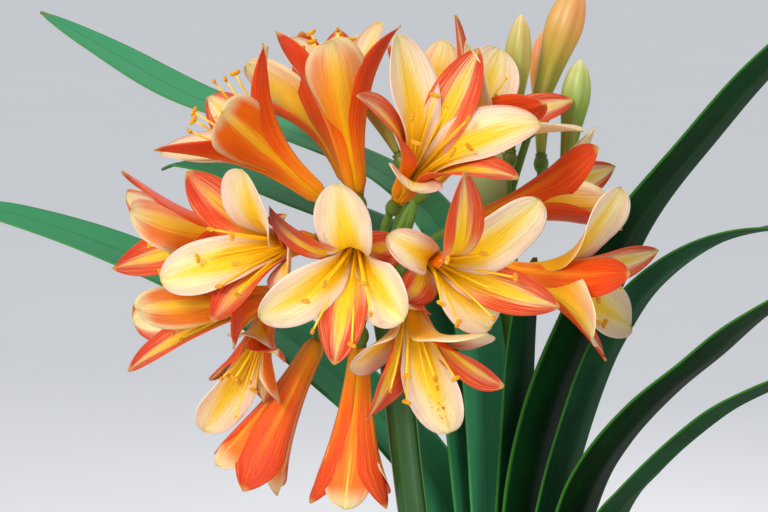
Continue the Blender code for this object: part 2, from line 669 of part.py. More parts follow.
def potting_mix(mat):
    """Fills the pot, with a gently uneven top and a plain hole where the plant stands."""
    sides = POT_SIDES
    rnd = random.Random(7)
    inner = wall_r(SOIL_TOP - 0.004) - POT_WALL - 2 * GAP
    low = wall_r(POT_FLOOR) - POT_WALL - 2 * GAP
    verts = []
    rings = [(low, POT_FLOOR + GAP), (inner, SOIL_TOP), (inner * 0.72, SOIL_TOP + 0.003)]
    for j, (r, z) in enumerate(rings):
        for k in range(sides):
            a = 2 * math.pi * k / sides
            lift = rnd.uniform(-0.0018, 0.0018) if j >= 1 else 0.0
            verts.append((r * math.cos(a), r * math.sin(a), z + lift))
    verts += [(0, 0, POT_FLOOR + GAP), (0, 0, SOIL_TOP + 0.004)]
    faces = []
    for i in range(len(rings) - 1):
        for k in range(sides):
            m = (k + 1) % sides
            faces.append((i * sides + k, i * sides + m, (i + 1) * sides + m, (i + 1) * sides + k))
    for k in range(sides):
        m = (k + 1) % sides
        faces.append((m, k, len(verts) - 2))
        faces.append((2 * sides + k, 2 * sides + m, len(verts) - 1))
    body = mesh_object("potting_mix", verts, faces, mat)
    path = [np.array([PIT_X, 0, SOIL_TOP - PIT_DEPTH]), np.array([PIT_X, 0, SOIL_TOP + 0.03])]
    flat = PIT_HALF[1] / PIT_HALF[0]
    cut(body, rod("pit", path, [PIT_HALF[0]] * 2, PIT_SIDES, mat, flat=flat, wide=[1.0, 0, 0]))
    tidy(body)
    return body


def main():
    clear()
    pot(material("pot", (0.30, 0.12, 0.07), 0.7))
    potting_mix(material("potting_mix", (0.06, 0.04, 0.03), 0.95))
    for name, spec in LEAVES.items():
        leaf(name, spec, material("leaf_" + name, (0.02, 0.10, 0.03), 0.35))
    scape_main(material("scape_main", (0.10, 0.25, 0.04), 0.45))
    scape_second(material("scape_second", (0.14, 0.28, 0.05), 0.45))
    for name, b in BLOOMS.items():
        bloom(name, b, material("bloom_" + name, (0.95, 0.42, 0.12), 0.45))
    for name, b in BUDS.items():
        bud(name, b, material("bud_" + name, (0.80, 0.35, 0.08), 0.45))
    for piece in bpy.data.objects:
        shade(piece)


main()
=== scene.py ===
"""Looks of the flowering clivia: fine petals, stems, leaves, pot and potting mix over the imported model."""
import math
import random

import bpy
import numpy as np
from mathutils import Matrix, Vector


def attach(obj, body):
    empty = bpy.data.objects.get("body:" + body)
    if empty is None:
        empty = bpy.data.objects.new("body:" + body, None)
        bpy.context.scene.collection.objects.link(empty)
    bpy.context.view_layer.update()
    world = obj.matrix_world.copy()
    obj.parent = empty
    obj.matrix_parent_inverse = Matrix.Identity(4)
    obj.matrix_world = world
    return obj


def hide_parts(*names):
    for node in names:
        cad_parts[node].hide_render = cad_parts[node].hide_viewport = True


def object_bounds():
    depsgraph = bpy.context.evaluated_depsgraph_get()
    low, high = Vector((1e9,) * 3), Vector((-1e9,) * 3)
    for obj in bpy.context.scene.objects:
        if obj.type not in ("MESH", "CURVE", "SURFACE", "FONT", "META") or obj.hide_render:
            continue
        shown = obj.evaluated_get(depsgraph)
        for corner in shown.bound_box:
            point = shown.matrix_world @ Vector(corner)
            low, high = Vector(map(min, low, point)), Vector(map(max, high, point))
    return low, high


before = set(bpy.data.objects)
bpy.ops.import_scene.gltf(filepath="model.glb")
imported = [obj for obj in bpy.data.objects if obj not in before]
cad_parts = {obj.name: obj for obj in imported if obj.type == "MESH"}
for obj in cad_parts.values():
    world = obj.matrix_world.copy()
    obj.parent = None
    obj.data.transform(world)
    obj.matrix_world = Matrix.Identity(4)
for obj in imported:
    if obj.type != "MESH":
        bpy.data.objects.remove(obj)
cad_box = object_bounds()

MM = 0.001
BOX_LOW, BOX_HIGH = (np.array([float(c) for c in corner]) for corner in cad_box)

# Camera: size of one pixel at the flower head, and where the head shows in a picture of 768 x 512
PIXEL = 0.0004
PICTURE = (768, 512)
HEAD_AT = (385, 260)
CAM_DIST = 1.05
CAM_DOWN = math.radians(8)
SENSOR = 36.0

# Light: place, power, size and colour of each lamp, the point that they aim at, and the even sky
LIT_POINT = (-0.03, -0.02, 0.45)
LIGHTS = {
    "key": ((-0.8, -1.2, 1.35), 21.0, 0.7, (1.0, 0.97, 0.93)),
    "fill": ((0.9, -1.5, 0.5), 8.0, 1.0, (0.96, 0.98, 1.0)),
    "back": ((0.4, 1.3, 1.2), 6.5, 0.9, (1.0, 0.98, 0.94)),
}
SKY = (0.90, 0.93, 0.97, 1.0)
SKY_STRENGTH = 0.70
FLOOR_R = 30.0

# Flower head: its centre, and the two sorts of petal as in the CAD. Here each sort also says how far it may
# wrap round the tube, how high its margin ruffles, how far in it lies and how strongly coral usually spreads
UMBEL = np.array([-0.038, -0.015, 0.455])
OUTER = dict(length=0.068, half_width=0.0094, widest=0.64, point=0.78, base=0.36,
             hold=0.95, ruffle=0.0006, layer=-0.00035, blush=0.62)
INNER = dict(length=0.066, half_width=0.0124, widest=0.69, point=0.5, base=0.25,
             hold=1.02, ruffle=0.0009, layer=0.0005, blush=0.12)
TUBE_R = 0.0034
TUBE_FOOT = 0.58
THROAT_ANGLE = 5.0
PETAL_CUP = 0.55
PETAL_THICK = 0.0009
EDGE_THICK = 0.0003
GROOVE = 0.0006
PETAL_ROWS = 36
PETAL_COLS = 15
LINE_STEPS = 120

# Flowers that open less than this, in degrees, hang as trumpets, and their outer petals are wider
TRUMPET = 20
TRUMPET_WIDER = 1.3

# One entry per bloom, as in the CAD but for bloom h, whose petal 0 is narrower and petals 1 and 2 are turned
# more here: base in mm from the head's centre (right, front, up), heading and lean of its axis, how far it
# opens, and the changes of single petals
BLOOMS = {
    "a": dict(base=(-11, 30, 14), heading=258, lean=65, open=58, recurve=12, roll=60, size=0.89,
        t={5: dict(d=20, az=14), 4: dict(d=2, az=12, length=0.57, curl=15, width=1.1),
           0: dict(d=15, curl=80, width=0.5), 3: dict(az=10, length=0.77, d=-12, width=1.12),
           2: dict(length=0.90, width=1.12)}),
    "b": dict(base=(14, 28, 6), heading=340, lean=60, open=58, recurve=10, roll=60, size=0.93,
        t={4: dict(az=8, d=8, length=1.26, curl=-6), 0: dict(az=10, d=30, curl=30, length=0.38),
           5: dict(az=-14, d=16, curl=50, length=0.70, width=0.65),
           1: dict(az=28, d=0, curl=20, length=0.68),
           3: dict(az=14, width=1.12, length=1.04), 2: dict(length=0.97)}),
    "c": dict(base=(8, 24, -5), heading=280, lean=32, open=42, recurve=12, roll=0, size=0.95,
        t={0: dict(d=12, curl=40, length=0.42), 1: dict(az=32, d=14, length=0.68),
           2: dict(az=6, length=0.88, width=1.45, twist=-25), 3: dict(az=15),
           4: dict(az=40, length=0.95, width=1.2, twist=-25), 5: dict(d=25, az=17)}),
    "d": dict(base=(-11, 4, 27), heading=99, lean=0, open=24, recurve=12, roll=60, size=1.06,
        t={0: dict(curl=25, width=0.85)}),
    "e": dict(base=(-24, 12, 26), heading=141, lean=0, open=42, recurve=18, roll=60, size=1.06,
        t={3: dict(d=-8), 4: dict(d=-12), 5: dict(az=12, length=0.93)}),
    "f": dict(base=(5, 16, 26), heading=62, lean=38, open=44, recurve=15, roll=60, size=1.05,
        t={5: dict(d=-14, curl=65, length=0.46), 0: dict(az=8, length=0.92)}),
    "g": dict(base=(17, -6, 29), heading=52, lean=5, open=44, recurve=10, roll=15, size=1.06),
    "h": dict(base=(-28, 22, 11), heading=184, lean=38, open=45, recurve=10, roll=30, size=0.98,
        t={1: dict(az=-25, d=15, length=0.92, width=1.1, twist=12),
           2: dict(az=-36, d=8, length=0.90, width=1.2, twist=30),
           3: dict(az=-10, d=-6, length=0.96, width=0.92),
           4: dict(az=-10, d=-5, length=0.8, width=1.15),
           5: dict(length=0.55, d=10), 0: dict(length=0.7, d=10, curl=40, width=0.6)}),
    "i": dict(base=(-44, -4, 9), heading=181, lean=12, open=36, recurve=10, roll=90,
        t={3: dict(length=0.6), 4: dict(length=0.66, d=0, az=14, curl=25)}),
    "j": dict(base=(-40, 5, -13), heading=190, lean=8, open=28, recurve=10, roll=80,
        t={0: dict(length=0.6, d=-5), 1: dict(az=45), 2: dict(az=45, d=-10),
           3: dict(az=20, length=0.36, d=0), 4: dict(az=10, length=0.55, d=35),
           5: dict(width=0.74)}),
    "k": dict(base=(-46, -5, -21), heading=249, lean=14, open=30, recurve=10, roll=100, size=0.9,
        t={2: dict(length=0.62), 3: dict(length=0.62), 4: dict(d=40, curl=50, length=0.5),
           5: dict(az=-16, d=22, curl=40, length=0.34), 0: dict(d=-10, length=0.6)}),
    "l": dict(base=(-27, -9, -34), heading=242, lean=-4, open=14, recurve=6, roll=0),
    "m": dict(base=(-10, 7, -34), heading=266, lean=0, open=14, recurve=8, roll=60, size=0.95),
    "n": dict(base=(43, 17, -1), heading=350, lean=12, open=36, recurve=12, roll=-30,
        t={1: dict(curl=40, length=0.85), 0: dict(length=0.9), 5: dict(d=28, length=0.95, twist=-35),
           2: dict(length=0.84)}),
    "o": dict(base=(34, -7, 14), heading=20, lean=6, open=22, recurve=8, roll=-60, size=0.94,
        t={0: dict(az=20, width=1.2), 1: dict(az=25)}),
    "p": dict(base=(-14, -28, 28), heading=112, lean=-34, open=34, recurve=14, roll=10),
    "q": dict(base=(10, -30, 26), heading=68, lean=-36, open=32, recurve=14, roll=40, size=0.96),
}
SEEDS = {name: 100 + i for i, name in enumerate(BLOOMS)}

# Added to a bloom's seed for the draws that only its looks need
PETAL_DRAWS = 500
STAMEN_DRAWS = 900

# How strongly coral spreads over a petal's inside, from 0 to 1; even petals are the outer ones
BLUSH = {
    "a": {0: 0.9, 1: 0.05, 2: 0.85, 3: 0.08, 4: 1.0, 5: 0.1},
    "b": {0: 0.9, 1: 0.12, 2: 0.8, 3: 0.03, 4: 0.85, 5: 0.3},
    "c": {0: 0.6, 1: 0.1, 2: 0.85, 3: 0.05, 4: 0.9, 5: 0.12},
    "d": {1: 0.3, 3: 0.3, 5: 0.38},
    "e": {1: 0.6, 3: 0.3, 5: 0.85},
    "f": {0: 0.85, 1: 0.25, 2: 0.8, 3: 0.05, 4: 0.9, 5: 0.1},
    "g": {3: 0.02, 5: 0.05},
    "h": {0: 0.7, 1: 0.1, 2: 1.0, 3: 0.12, 4: 0.95, 5: 0.35},
    "i": {0: 0.9, 1: 0.45, 2: 0.9, 5: 0.6},
    "j": {1: 0.55, 2: 0.85, 5: 0.6},
    "k": {1: 0.0, 3: 0.95},
    "l": {1: 1.0, 3: 0.9, 5: 1.0},
    "m": {1: 1.0, 3: 0.9, 5: 1.0},
    "n": {3: 0.05, 5: 0.06},
}

# Petals that have begun to wither, and the one petal with red speckles, by bloom and petal
WITHERED = {("a", 0): 0.9}
SPECKLED = ("c", 3)

# How long the stamens are, and how far (right, front, up, in mm) their ends hang or lean
USUAL_STAMENS = (1.08, (0, 0, -2))
STAMENS = {"a": (1.0, (-4, 0, -9)), "d": (1.45, (-2, 0, 0)), "e": (1.35, (0, 4, 4)), "k": (0.85, (-2, 0, 2))}
STAMEN_ROWS = 14
FILAMENT = 0.040
ANTHER_HALF = 0.0021
ANTHER_R = 0.0009
STYLE = 0.050
OVARY = 0.0075
OVARY_GAP = 0.0006

# Closed buds, as in the CAD: tip and foot in mm from the head's centre, and how green each one is
BUDS = {
    "p": dict(head="second", foot=(62, -52, 52), tip=(80, -54, 108), radius=8.5, green=0.45),
    "q": dict(head="second", foot=(52, -44, 40), tip=(56, -42, 96), radius=6.0, green=0.8),
    "s": dict(head="second", foot=(74, -36, 30), tip=(80, -34, 78), radius=6.5, green=1.0),
    "r": dict(head="second", foot=(66, -66, 36), tip=(67, -70, 88), radius=6.0, green=0.1),
    "t": dict(head="main", foot=(5, -9, 42), tip=(-8, -12, 66), radius=4.2, green=0.6),
}

# How thick a bud is at shares of its length; its very tip is finer than in the CAD
BUD_SHAPE = ((0.0, 0.36), (0.12, 0.45), (0.4, 0.7), (0.68, 1.0), (0.86, 0.78), (0.96, 0.36), (1.0, 0.04))

# Stems: path in mm up to the top, half widths in mm, how flat each is across, from how deep to how yellow
# its green goes, and how far below the top its stalks begin
MAIN_TOP = UMBEL + np.array([0.0, 0.004, -0.012])
SECOND_TOP = np.array([0.0125, 0.030, 0.474])
SCAPE_ROWS = 60
SCAPES = {
    "main": dict(path=((-4, -20, 156.7), (-12, -18, 250), (-27, -14, 353), (-34, -11, 415)), top=MAIN_TOP,
                 widths=(6.6, 6.4, 6.2, 6.0, 6.0, 6.2, 7.2), flat=0.65, ripe=(0.0, 0.1), sunk=0.004),
    "second": dict(path=((26, 21, 156.7), (19, 28, 260), (11.5, 30, 360)), top=SECOND_TOP,
                   widths=(6.2, 6.2, 6.0, 5.6, 5.2, 5.6), flat=0.62, ripe=(0.32, 0.6), sunk=0.003),
}

# Leaves, as in the CAD: side of the fan, half ellipse of the sheath, half width and the middle line in mm.
# The value after the half width is painted sheen: how much lighter and bluer the green is painted, as light
# that the leaf catches
LEAVES = {
    "inner": dict(side=1, sheath=(5, 3.5), half=13, tone=0.12, line=(
        (5, 0, 300), (4, 1, 353), (5, 2, 400), (7, 3, 430), (10, 5, 454))),
    "right_1": dict(side=1, sheath=(9, 5.5), half=19.5, tone=0.02, line=(
        (9, 0, 300), (11, 1, 353), (17, 7, 392), (26, 18, 426), (39, 35, 466),
        (61, 49, 500), (87, 61, 533), (121, 73, 562), (159, 86, 576))),
    "right_2": dict(side=1, sheath=(13, 7.5), half=15, tone=0.12, line=(
        (15, 0, 300), (22, 4, 353), (29, 10, 388), (36, 21, 418), (46, 35, 441),
        (65, 49, 458), (90, 61, 466), (123, 73, 464), (159, 85, 450))),
    "right_3": dict(side=1, sheath=(17, 9.5), half=19, tone=0.0, line=(
        (22, 0, 300), (37, -2, 353), (50, -3, 378), (71, -5, 402), (93, -7, 421),
        (118, -9, 442), (156, -12, 463), (200, -15, 474), (236, -17, 474))),
    "right_4": dict(side=1, sheath=(21, 11.5), half=17, tone=0.05, line=(
        (28, 0, 296), (51, -3, 350), (67, -5, 370), (93, -8, 394), (117, -11, 411),
        (155, -15, 428), (195, -19, 430), (230, -22, 418))),
    "right_5": dict(side=1, sheath=(25, 13.5), half=18, tone=0.1, line=(
        (38, 2, 270), (60, 5, 304), (90, 9, 324), (125, 14, 333), (165, 19, 330),
        (198, 24, 314), (222, 28, 292))),
    "left_1": dict(side=-1, sheath=(7, 4.5), half=17, tone=1.0, line=(
        (-8, 0, 300), (-10, 0, 353), (-14, 0, 410), (-26, 0, 452), (-54, 0, 480),
        (-104, 0, 497), (-166, 0, 512), (-215, 0, 531), (-252, 0, 546))),
    "left_3": dict(side=-1, sheath=(11, 6.5), half=19, tone=0.55, line=(
        (-12, 0, 300), (-16, 0, 353), (-22, 0, 400), (-36, -2, 435), (-60, -4, 458),
        (-98, -8, 471), (-132, -12, 481), (-157, -15, 484), (-168, -16, 481))),
    "left_2": dict(side=-1, sheath=(15, 8.5), half=20, tone=0.9, line=(
        (-17, -1, 300), (-26, -4, 346), (-46, -10, 375), (-71, -18, 398), (-107, -31, 424),
        (-164, -56, 451), (-210, -73, 465), (-236, -81, 468))),
    "left_4": dict(side=-1, sheath=(19, 10.5), half=18, tone=0.25, line=(
        (-28, 1, 255), (-48, 3, 281), (-74, 8, 303), (-110, 14, 309), (-150, 20, 299),
        (-186, 26, 277))),
}
FAN_X = 0.012
FAN_TURN = math.radians(-35)
SHEATH_TURN = math.radians(82)
SHEATH_END = (0.205, 0.300)
LEAF_FOOT = (156, 185, 215)
LEAF_THICK = 0.0014
LEAF_EDGE = 0.0007
LEAF_FOLD = 0.20
LEAF_ROWS = 110
LEAF_COLS = 17

# Pot and potting mix, sized as in the CAD
POT_TOP_R = 0.100
POT_BASE_R = 0.075
POT_HEIGHT = 0.190
POT_WALL = 0.0045
POT_FLOOR = 0.006
RIM_BAND = 0.022
RIM_OUT = 0.004
ROUND = 0.002
BEVEL = 0.0006
DRAIN_R = 0.006
DRAIN_RING = 0.042
POT_SIDES = 144
SOIL_TOP = 0.172
SOIL_CLEAR = 0.0008
SOIL_WAVE = 0.0006
SOIL_RINGS = 46
CHIPS = 900
SOIL_SEED = 21


# Small maths
def smooth(a, b, x):
    t = np.clip((x - a) / (b - a), 0.0, 1.0)
    return t * t * (3 - 2 * t)


def unit(v):
    return v / np.maximum(np.linalg.norm(v, axis=-1, keepdims=True), 1e-12)


def bezier(a, b, c, d, n):
    t = np.linspace(0, 1, n)[:, None]
    return a * (1 - t) ** 3 + b * 3 * t * (1 - t) ** 2 + c * 3 * t * t * (1 - t) + d * t ** 3


def spline(points, n):
    """A smooth line through the points, n samples even in length."""
    pts = np.asarray(points, float)
    ext = np.vstack([2 * pts[0] - pts[1], pts, 2 * pts[-1] - pts[-2]])
    out = []
    for i in range(1, len(ext) - 2):
        p0, p1, p2, p3 = ext[i - 1:i + 3]
        for t in np.linspace(0, 1, 24, endpoint=False):
            out.append(0.5 * (2 * p1 + (p2 - p0) * t + (2 * p0 - 5 * p1 + 4 * p2 - p3) * t * t
                              + (3 * p1 - p0 - 3 * p2 + p3) * t ** 3))
    out.append(pts[-1])
    out = np.array(out)
    dist = np.concatenate([[0], np.cumsum(np.linalg.norm(np.diff(out, axis=0), axis=1))])
    want = np.linspace(0, dist[-1], n)
    return np.stack([np.interp(want, dist, out[:, k]) for k in range(3)], axis=1)


def round_angles(sides, shift=0.0):
    """Even angles round a circle."""
    return 2 * math.pi * (np.arange(sides) + shift) / sides


# Mesh building
class Shape:
    """Collects vertices with values on them, and faces with a material index."""

    def __init__(self):
        self.verts, self.faces, self.kinds = [], [], []
        self.values = {}
        self.count = 0

    def add(self, points, faces, kind=0, **values):
        points = np.asarray(points, float).reshape(-1, 3)
        n = len(points)
        for key in set(self.values) | set(values):
            have = self.values.setdefault(key, [np.zeros(self.count)] if self.count else [])
            new = np.asarray(values.get(key, 0.0), float)
            have.append(np.full(n, float(new)) if new.ndim == 0 else new.reshape(-1))
        self.faces += [tuple(self.count + i for i in f) for f in faces]
        self.kinds += [kind] * len(faces)
        self.verts.append(points)
        self.count += n

    def build(self, name, mats):
        """Makes the piece, with every vertex kept inside the box of the CAD."""
        verts = np.clip(np.vstack(self.verts), BOX_LOW, BOX_HIGH)
        mesh = bpy.data.meshes.new(name)
        mesh.from_pydata(verts.tolist(), [], self.faces)
        for mat in mats:
            mesh.materials.append(mat)
        mesh.polygons.foreach_set("material_index", self.kinds)
        for key, parts in self.values.items():
            data = mesh.attributes.new(key, "FLOAT", "POINT")
            data.data.foreach_set("value", np.concatenate(parts).astype(np.float32))
        mesh.shade_smooth()
        mesh.update()
        return link(bpy.data.objects.new(name, mesh))


def link(obj):
    bpy.context.scene.collection.objects.link(obj)
    return obj


def grid_faces(rows, cols, start=0, flip=False, wrap=False):
    out = []
    for i in range(rows - 1):
        for j in range(cols if wrap else cols - 1):
            a = start + i * cols + j
            b = start + i * cols + (j + 1) % cols
            quad = (a, b, b + cols, a + cols)
            out.append(quad[::-1] if flip else quad)
    return out


def tube_faces(rows, sides):
    """Faces of a closed tube: its wall, its first end and its last end."""
    last = (rows - 1) * sides
    ends = [tuple(range(sides - 1, -1, -1)), tuple(range(last, last + sides))]
    return grid_faces(rows, sides, wrap=True) + ends


def add_sheet(shape, grid, thick, kind=0, **values):
    """A closed blade: the side that the grid's normals leave is the inside (value inside = 1)."""
    rows, cols = grid.shape[:2]
    normal = unit(np.cross(np.gradient(grid, axis=0), np.gradient(grid, axis=1)))
    half = np.broadcast_to(thick, (rows, cols))[..., None] / 2
    top = (grid + normal * half).reshape(-1, 3)
    low = (grid - normal * half).reshape(-1, 3)
    under = rows * cols
    faces = grid_faces(rows, cols)
    faces += grid_faces(rows, cols, under, flip=True)
    ring = list(range(cols))
    ring += [i * cols + cols - 1 for i in range(1, rows)]
    ring += [(rows - 1) * cols + j for j in range(cols - 2, -1, -1)]
    ring += [i * cols for i in range(rows - 2, 0, -1)]
    for p, q in zip(ring, ring[1:] + ring[:1]):
        faces.append((q, p, under + p, under + q))
    values = {key: np.tile(np.broadcast_to(val, (rows, cols)).ravel(), 2) for key, val in values.items()}
    shape.add(np.vstack([top, low]), faces, kind, inside=np.repeat([1.0, 0.0], under), **values)


def add_rod(shape, path, radii, sides, kind=0, flat=1.0, wide=None, lobes=0, lobe=0.0, **values):
    """A closed rod along a path. flat squashes it across the direction wide; lobes give it ribs."""
    path = np.asarray(path, float)
    n = len(path)
    whole = unit(path[-1] - path[0])
    ref = np.array([0.0, 1.0, 0.0]) if abs(whole[1]) < 0.75 else np.array([1.0, 0.0, 0.0])
    if wide is not None:
        ref = np.cross(wide, [0, 0, 1.0])
    turn = round_angles(sides, 0.5)
    rings = []
    for i, p in enumerate(path):
        t = unit(path[min(i + 1, n - 1)] - path[max(i - 1, 0)])
        side = unit(ref - t * (ref @ t))
        ref = side
        up = np.cross(t, side)
        r = radii[i] * (1 + lobe * np.cos(lobes * turn))
        rings.append(p + np.outer(r * np.cos(turn) * flat, side) + np.outer(r * np.sin(turn), up))
    for key, val in values.items():
        val = np.asarray(val, float)
        if val.ndim == 1 and len(val) == n:
            values[key] = np.repeat(val, sides)
    shape.add(np.vstack(rings), tube_faces(n, sides), kind, along=np.repeat(np.linspace(0, 1, n), sides),
              across=np.tile(np.cos(turn), n), around=np.tile(np.sin(turn), n), **values)


# Node building
def rgb(r, g, b):
    """A screen colour as the linear values that a shader takes."""
    out = []
    for c in (r / 255, g / 255, b / 255):
        out.append(c / 12.92 if c <= 0.04045 else ((c + 0.055) / 1.055) ** 2.4)
    return (*out, 1.0)


class Wire:
    """What leaves a node. Sums and products of wires add the nodes that work them out."""

    def __init__(self, graph, socket):
        self.graph, self.socket = graph, socket

    def __add__(self, other):
        return self.graph.math("ADD", self, other)

    def __sub__(self, other):
        return self.graph.math("SUBTRACT", self, other)

    def __rsub__(self, other):
        return self.graph.math("SUBTRACT", other, self)

    def __mul__(self, other):
        return self.graph.math("MULTIPLY", self, other)

    def __abs__(self):
        return self.graph.math("ABSOLUTE", self, 0.0)


class Graph:
    """Short calls for the nodes of one material."""

    def __init__(self, name, rough, **sockets):
        self.mat = bpy.data.materials.new(name)
        self.mat.use_nodes = True
        self.tree = self.mat.node_tree
        self.shader = self.tree.nodes["Principled BSDF"]
        self.shader.inputs["Roughness"].default_value = rough
        for key, val in sockets.items():
            self.shader.inputs[key.replace("_", " ")].default_value = val

    def put(self, socket, value):
        if isinstance(value, Wire):
            self.tree.links.new(value.socket, socket)
        else:
            socket.default_value = value

    def node(self, kind, inputs=None, output=0, **props):
        made = self.tree.nodes.new("ShaderNode" + kind)
        for key, val in props.items():
            setattr(made, key, val)
        for key, val in (inputs or {}).items():
            self.put(made.inputs[key], val)
        return Wire(self, made.outputs[output])

    def value(self, name):
        return self.node("Attribute", output="Fac", attribute_name=name)

    def math(self, op, a, b):
        return self.node("Math", {0: a, 1: b}, operation=op)

    def least(self, a, b):
        return self.math("MINIMUM", a, b)

    def step(self, low, high, x):
        """Smooth rise of x from 0 at low to 1 at high, or a fall where low is the larger."""
        return self.node("MapRange", {"Value": x, "From Min": low, "From Max": high}, "Result",
                         interpolation_type="SMOOTHSTEP")

    def mix(self, amount, a, b):
        return self.node("Mix", {0: amount, 6: a, 7: b}, 2, data_type="RGBA")

    def ramp(self, x, *stops):
        wire = self.node("ValToRGB", {"Fac": x}, "Color")
        bar = wire.socket.node.color_ramp.elements
        while len(bar) < len(stops):
            bar.new(0.5)
        for spot, (at, colour) in zip(bar, stops):
            spot.position = at
            spot.color = rgb(*colour)
        return wire

    def coats(self, colour, *layers):
        """Lays coats of colour over one another: each has how much of it shows, and its screen colour."""
        for amount, paint in layers:
            colour = self.mix(amount, colour, rgb(*paint))
        return colour

    def noise(self, scale, detail=2.0, rough=0.5, at=None):
        """Noise over the positions of a piece, unless another vector is given."""
        inputs = {"Vector": at or self.point(), "Scale": scale, "Detail": detail, "Roughness": rough}
        return self.node("TexNoise", inputs, "Fac")

    def streaks(self, wide, long, shift=0.0, detail=2.0):
        """Noise along a piece; wide and long say how often it changes across and along."""
        spot = {0: self.value("across") * wide, 1: self.value("along") * long, 2: shift}
        return self.noise(1.0, detail, at=self.node("CombineXYZ", spot))

    def point(self, output="Position"):
        return self.node("NewGeometry", output=output)

    def axis(self, vector, name):
        return self.node("SeparateXYZ", {"Vector": vector}, name)

    def stretch(self, *factors):
        return self.node("VectorMath", {0: self.point(), 1: factors}, operation="MULTIPLY")

    def bump(self, height, distance, strength):
        inputs = {"Height": height, "Distance": distance, "Strength": strength}
        self.put(self.shader.inputs["Normal"], self.node("Bump", inputs, "Normal"))

    def done(self, colour, rough=None):
        self.put(self.shader.inputs["Base Color"], colour)
        if rough is not None:
            self.put(self.shader.inputs["Roughness"], rough)
        return self.mat


# Materials
def petal_material():
    """Cream to yellow inside with coral margins and fine streaks; orange outside."""
    g = Graph("petal", 0.42, Subsurface_Weight=0.12, Subsurface_Scale=0.003,
              Subsurface_Radius=(1.0, 0.75, 0.35), Specular_IOR_Level=0.3)
    along, blush = g.value("along"), g.value("blush")
    edge = abs(g.value("across"))
    shift = g.value("seed") * 7.3
    streak = g.streaks(9.0, 1.3, shift, 3.0)
    fine = g.streaks(34.0, 3.0, shift)
    cloud = g.streaks(1.6, 3.2, shift)
    wobble = (streak - 0.5) * 0.8 + (fine - 0.5) * 0.6
    face_out = g.mix(g.value("sort"), outer_back(g, along, edge, wobble, streak),
                     inner_back(g, along, edge, wobble, blush, cloud))
    colour = g.mix(g.value("inside"), face_out, petal_inside(g, along, edge, wobble, blush, fine, cloud))
    specks = g.step(0.58, 0.66, g.streaks(12.0, 30.0, shift)) * g.value("speckled")
    patch = g.step(0.7, 0.82, along) * g.step(0.98, 0.88, along) * g.step(0.5, 0.2, edge)
    colour = g.coats(colour, (g.step(0.955, 1.0, along) * 0.5, (255, 222, 120)),
                     (g.value("withered") * g.step(0.6, 0.95, along), (120, 30, 14)),
                     (specks * patch, (214, 70, 30)))
    g.bump(fine * 0.6 + streak * 0.8, 0.0010, 0.9)
    return g.done(colour, fine * 0.18 + 0.34)


def petal_inside(g, along, edge, wobble, blush, fine, cloud):
    """Golden throat that runs up the middle, pinkish cream sides, and coral where the blush reaches."""
    gold = g.ramp(along, (0.0, (250, 182, 0)), (0.3, (255, 192, 4)), (0.6, (254, 200, 16)),
                  (0.85, (252, 206, 52)), (1.0, (248, 214, 110)))
    cream = g.mix(g.step(0.55, 1.0, edge + along * 0.2), rgb(247, 222, 162), rgb(242, 208, 178))
    cream = g.coats(cream, (g.step(0.46, 0.7, cloud) * 0.35, (240, 190, 142)))
    colour = g.mix(g.step(0.66, 1.04, edge * 0.72 + along * 0.88 + wobble * 0.34), gold, cream)
    hairs = g.step(0.55, 0.64, fine) * g.step(0.3, 0.7, along)
    colour = g.coats(colour, (hairs * 0.30, (226, 172, 120)))
    coral = g.ramp(along + wobble * 0.4, (0.0, (252, 146, 6)), (0.35, (244, 104, 10)), (0.65, (228, 70, 16)),
                   (0.9, (212, 52, 22)), (1.0, (222, 82, 46)))
    coral = g.coats(coral, (g.step(0.5, 0.75, cloud) * 0.4, (204, 40, 16)))
    need = 1.16 - blush * 1.1
    amount = g.step(need, need + 0.34, edge * 0.74 + along * 0.34 + wobble * 0.85)
    amount = amount * g.step(0.30, 0.62, along) * g.least(blush * 2.4, 1.0)
    stripe = g.step(0.46, 0.10, edge + wobble * 1.1) * g.step(1.02, 0.70, along)
    amount = amount * (1.0 - stripe * 0.68)
    colour = g.mix(amount, colour, coral)
    colour = g.coats(colour, (g.step(0.54, 0.64, fine) * amount * 0.5, (250, 190, 120)))
    rim = g.step(0.86, 1.0, edge) * g.step(0.3, 0.6, along)
    rim_colour = g.mix(g.least(blush * 1.6, 1.0), rgb(252, 234, 216), rgb(222, 78, 36))
    return g.mix(rim * 0.5, colour, rim_colour)


def outer_back(g, along, edge, wobble, streak):
    """Orange outside of an outer petal, yellower toward the tube and along the middle."""
    colour = g.ramp(along, (0.0, (255, 172, 6)), (0.16, (255, 140, 0)), (0.4, (246, 92, 0)),
                    (0.75, (232, 68, 6)), (1.0, (222, 64, 26)))
    middle = g.step(0.24, 0.0, edge + wobble * 0.3) * g.step(0.92, 0.3, along)
    return g.coats(colour, (g.step(0.5, 0.75, streak) * 0.4, (255, 140, 24)),
                   (middle * 0.75, (255, 160, 16)))


def inner_back(g, along, edge, wobble, blush, cloud):
    """Yellow tube and centre line, orange sides where blushed, and a cream end and margin."""
    gold = g.ramp(along, (0.0, (255, 180, 0)), (0.45, (255, 184, 6)), (0.8, (255, 200, 64)),
                  (1.0, (254, 222, 140)))
    cream = g.mix(g.step(0.46, 0.7, cloud), rgb(248, 224, 172), rgb(242, 200, 156))
    colour = g.mix(g.step(0.78, 1.16, edge * 0.50 + along * 0.95 + wobble * 0.5), gold, cream)
    grown = g.math("MAXIMUM", blush - 0.7, 0.0) * 0.8
    sides = g.step(0.08, 0.42, edge + grown + wobble * 0.7) * g.step(1.0, 0.72, edge + wobble * 0.3)
    sides = sides * g.step(0.1, 0.4, along) * g.step(1.0, 0.84, along)
    return g.coats(colour, (sides * g.least(blush * 1.4, 1.0), (248, 112, 12)))


